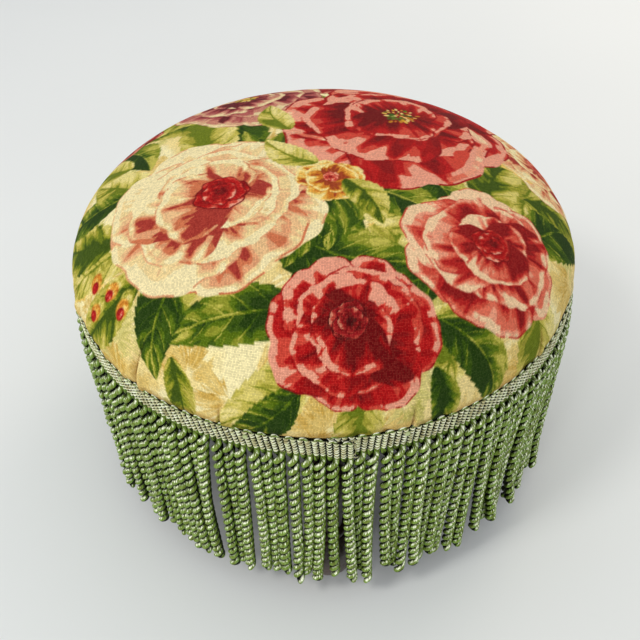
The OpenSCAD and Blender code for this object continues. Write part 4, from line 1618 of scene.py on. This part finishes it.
class FOOTSTOOL_OT_hardware(bpy.types.Operator):
    """Finishes the staples, header pins, bolts and nuts"""
    bl_idname = "footstool.hardware"
    bl_label = "Hardware"

    def execute(self, context):
        wire_finish = scuffed("staple_wire", "b9bcc0", "8d9095", 1.0, 0.24)
        dress(["cover_staples", "dust_cover_staples"], wire_finish)
        dress(["t_nuts", "hanger_bolts"], scuffed("zinc_steel", "c3c6c2", "999c96", 1.0, 0.3))
        dress(["header_pins"], scuffed("pin_enamel", "b3bf86", "93a066", 0.0, 0.5))
        return {"FINISHED"}


# Stage

# Half of the floor's side, in millimetres
FLOOR_HALF = 6000.0
SKY_COLOUR = (0.94, 0.97, 1.0, 1.0)
# Place in metres, height that it points at over the middle of the floor, width and colour of each lamp
LAMPS = {
    "key": ((-1.15, -0.75, 1.75), 0.12, 0.5, (1.0, 0.99, 0.95)),
    "window": ((-0.9, -1.6, 0.7), 0.08, 0.4, (1.0, 1.0, 1.0)),
    "fill": ((0.9, 1.2, 1.0), 0.1, 0.9, (1.0, 0.9, 0.76)),
}
CAMERA_AT = (0.0, -0.4063, 0.4792)
CAMERA_YAW, CAMERA_PITCH, CAMERA_ROLL = (math.radians(d) for d in (-0.432, 43.25, -1.426))
SENSOR = 36


def add_lamp(name, power):
    """A round area lamp from the list above."""
    place, height, size, colour = LAMPS[name]
    data = bpy.data.lights.new(name, "AREA")
    data.shape = "DISK"
    data.size = size
    data.energy = power
    data.color = colour
    lamp = bpy.data.objects.new(name, data)
    lamp.location = place
    lamp.rotation_euler = (Vector((0, 0, height)) - Vector(place)).to_track_quat("-Z", "Y").to_euler()
    bpy.context.scene.collection.objects.link(lamp)


def add_camera(lens):
    """The camera at the photograph's place and tilt."""
    data = bpy.data.cameras.new("camera")
    data.sensor_width = SENSOR
    data.lens = lens
    data.clip_start = 0.01
    camera = bpy.data.objects.new("camera", data)
    bpy.context.scene.collection.objects.link(camera)
    bpy.context.scene.camera = camera
    ahead = Vector((math.sin(CAMERA_YAW) * math.cos(CAMERA_PITCH),
                    math.cos(CAMERA_YAW) * math.cos(CAMERA_PITCH), -math.sin(CAMERA_PITCH)))
    right = Vector((math.cos(CAMERA_YAW), -math.sin(CAMERA_YAW), 0))
    above = right.cross(ahead)
    c, s = math.cos(CAMERA_ROLL), math.sin(CAMERA_ROLL)
    turned = Matrix((right * c + above * s, above * c - right * s, -ahead)).transposed().to_4x4()
    camera.matrix_world = Matrix.Translation(CAMERA_AT) @ turned


class FOOTSTOOL_OT_stage(bpy.types.Operator):
    """Makes the floor, the lamps, the even light and the camera"""
    bl_idname = "footstool.stage"
    bl_label = "Stage"

    def execute(self, context):
        settings = context.scene.footstool_stage
        corners = FLOOR_HALF * np.array([(-1, -1, 0), (1, -1, 0), (1, 1, 0), (-1, 1, 0)])
        floor = mesh_object("floor", corners, [0, 1, 2, 3], [4], smooth=False)
        floor.data.materials.append(floor_paint(settings.floor))
        for name in LAMPS:
            add_lamp(name, getattr(settings, name + "_power"))
        world = bpy.data.worlds.new("even_light")
        world.use_nodes = True
        sky = world.node_tree.nodes["Background"]
        sky.inputs["Color"].default_value = SKY_COLOUR
        sky.inputs["Strength"].default_value = settings.sky
        context.scene.world = world
        add_camera(settings.lens)
        context.scene.view_settings.view_transform = "Standard"
        return {"FINISHED"}


GROUPS = plain_weave_group, twisted_yarn_group, wood_grain_group, scuffs_group, felted_fibres_group
STEPS = (
    FOOTSTOOL_OT_stage,
    FOOTSTOOL_OT_cover,
    FOOTSTOOL_OT_padding,
    FOOTSTOOL_OT_header,
    FOOTSTOOL_OT_fringe,
    FOOTSTOOL_OT_underside,
    FOOTSTOOL_OT_woodwork,
    FOOTSTOOL_OT_hardware,
)


class FOOTSTOOL_PT_sidebar(bpy.types.Panel):
    """Lists the footstool's sizes, colours and making steps"""
    bl_idname = "FOOTSTOOL_PT_sidebar"
    bl_label = "Footstool"
    bl_space_type = "VIEW_3D"
    bl_region_type = "UI"
    bl_category = "Footstool"

    def draw(self, context):
        for name, kind in SETTINGS.items():
            box = self.layout.box()
            box.label(text=name.replace("footstool_", "").title())
            values = getattr(context.scene, name)
            for key in kind.__annotations__:
                box.prop(values, key)
        for step in STEPS:
            self.layout.operator(step.bl_idname)


def register():
    for kind in (*SETTINGS.values(), *STEPS, FOOTSTOOL_PT_sidebar):
        bpy.utils.register_class(kind)
    for name, kind in SETTINGS.items():
        setattr(bpy.types.Scene, name, PointerProperty(type=kind))


def unregister():
    for name in SETTINGS:
        delattr(bpy.types.Scene, name)
    for kind in (FOOTSTOOL_PT_sidebar, *reversed(STEPS), *reversed(list(SETTINGS.values()))):
        bpy.utils.unregister_class(kind)


def main():
    register()
    for build in GROUPS:
        build()
    for step in STEPS:
        getattr(bpy.ops.footstool, step.bl_idname.split(".")[1])()


if __name__ == "__main__":
    main()
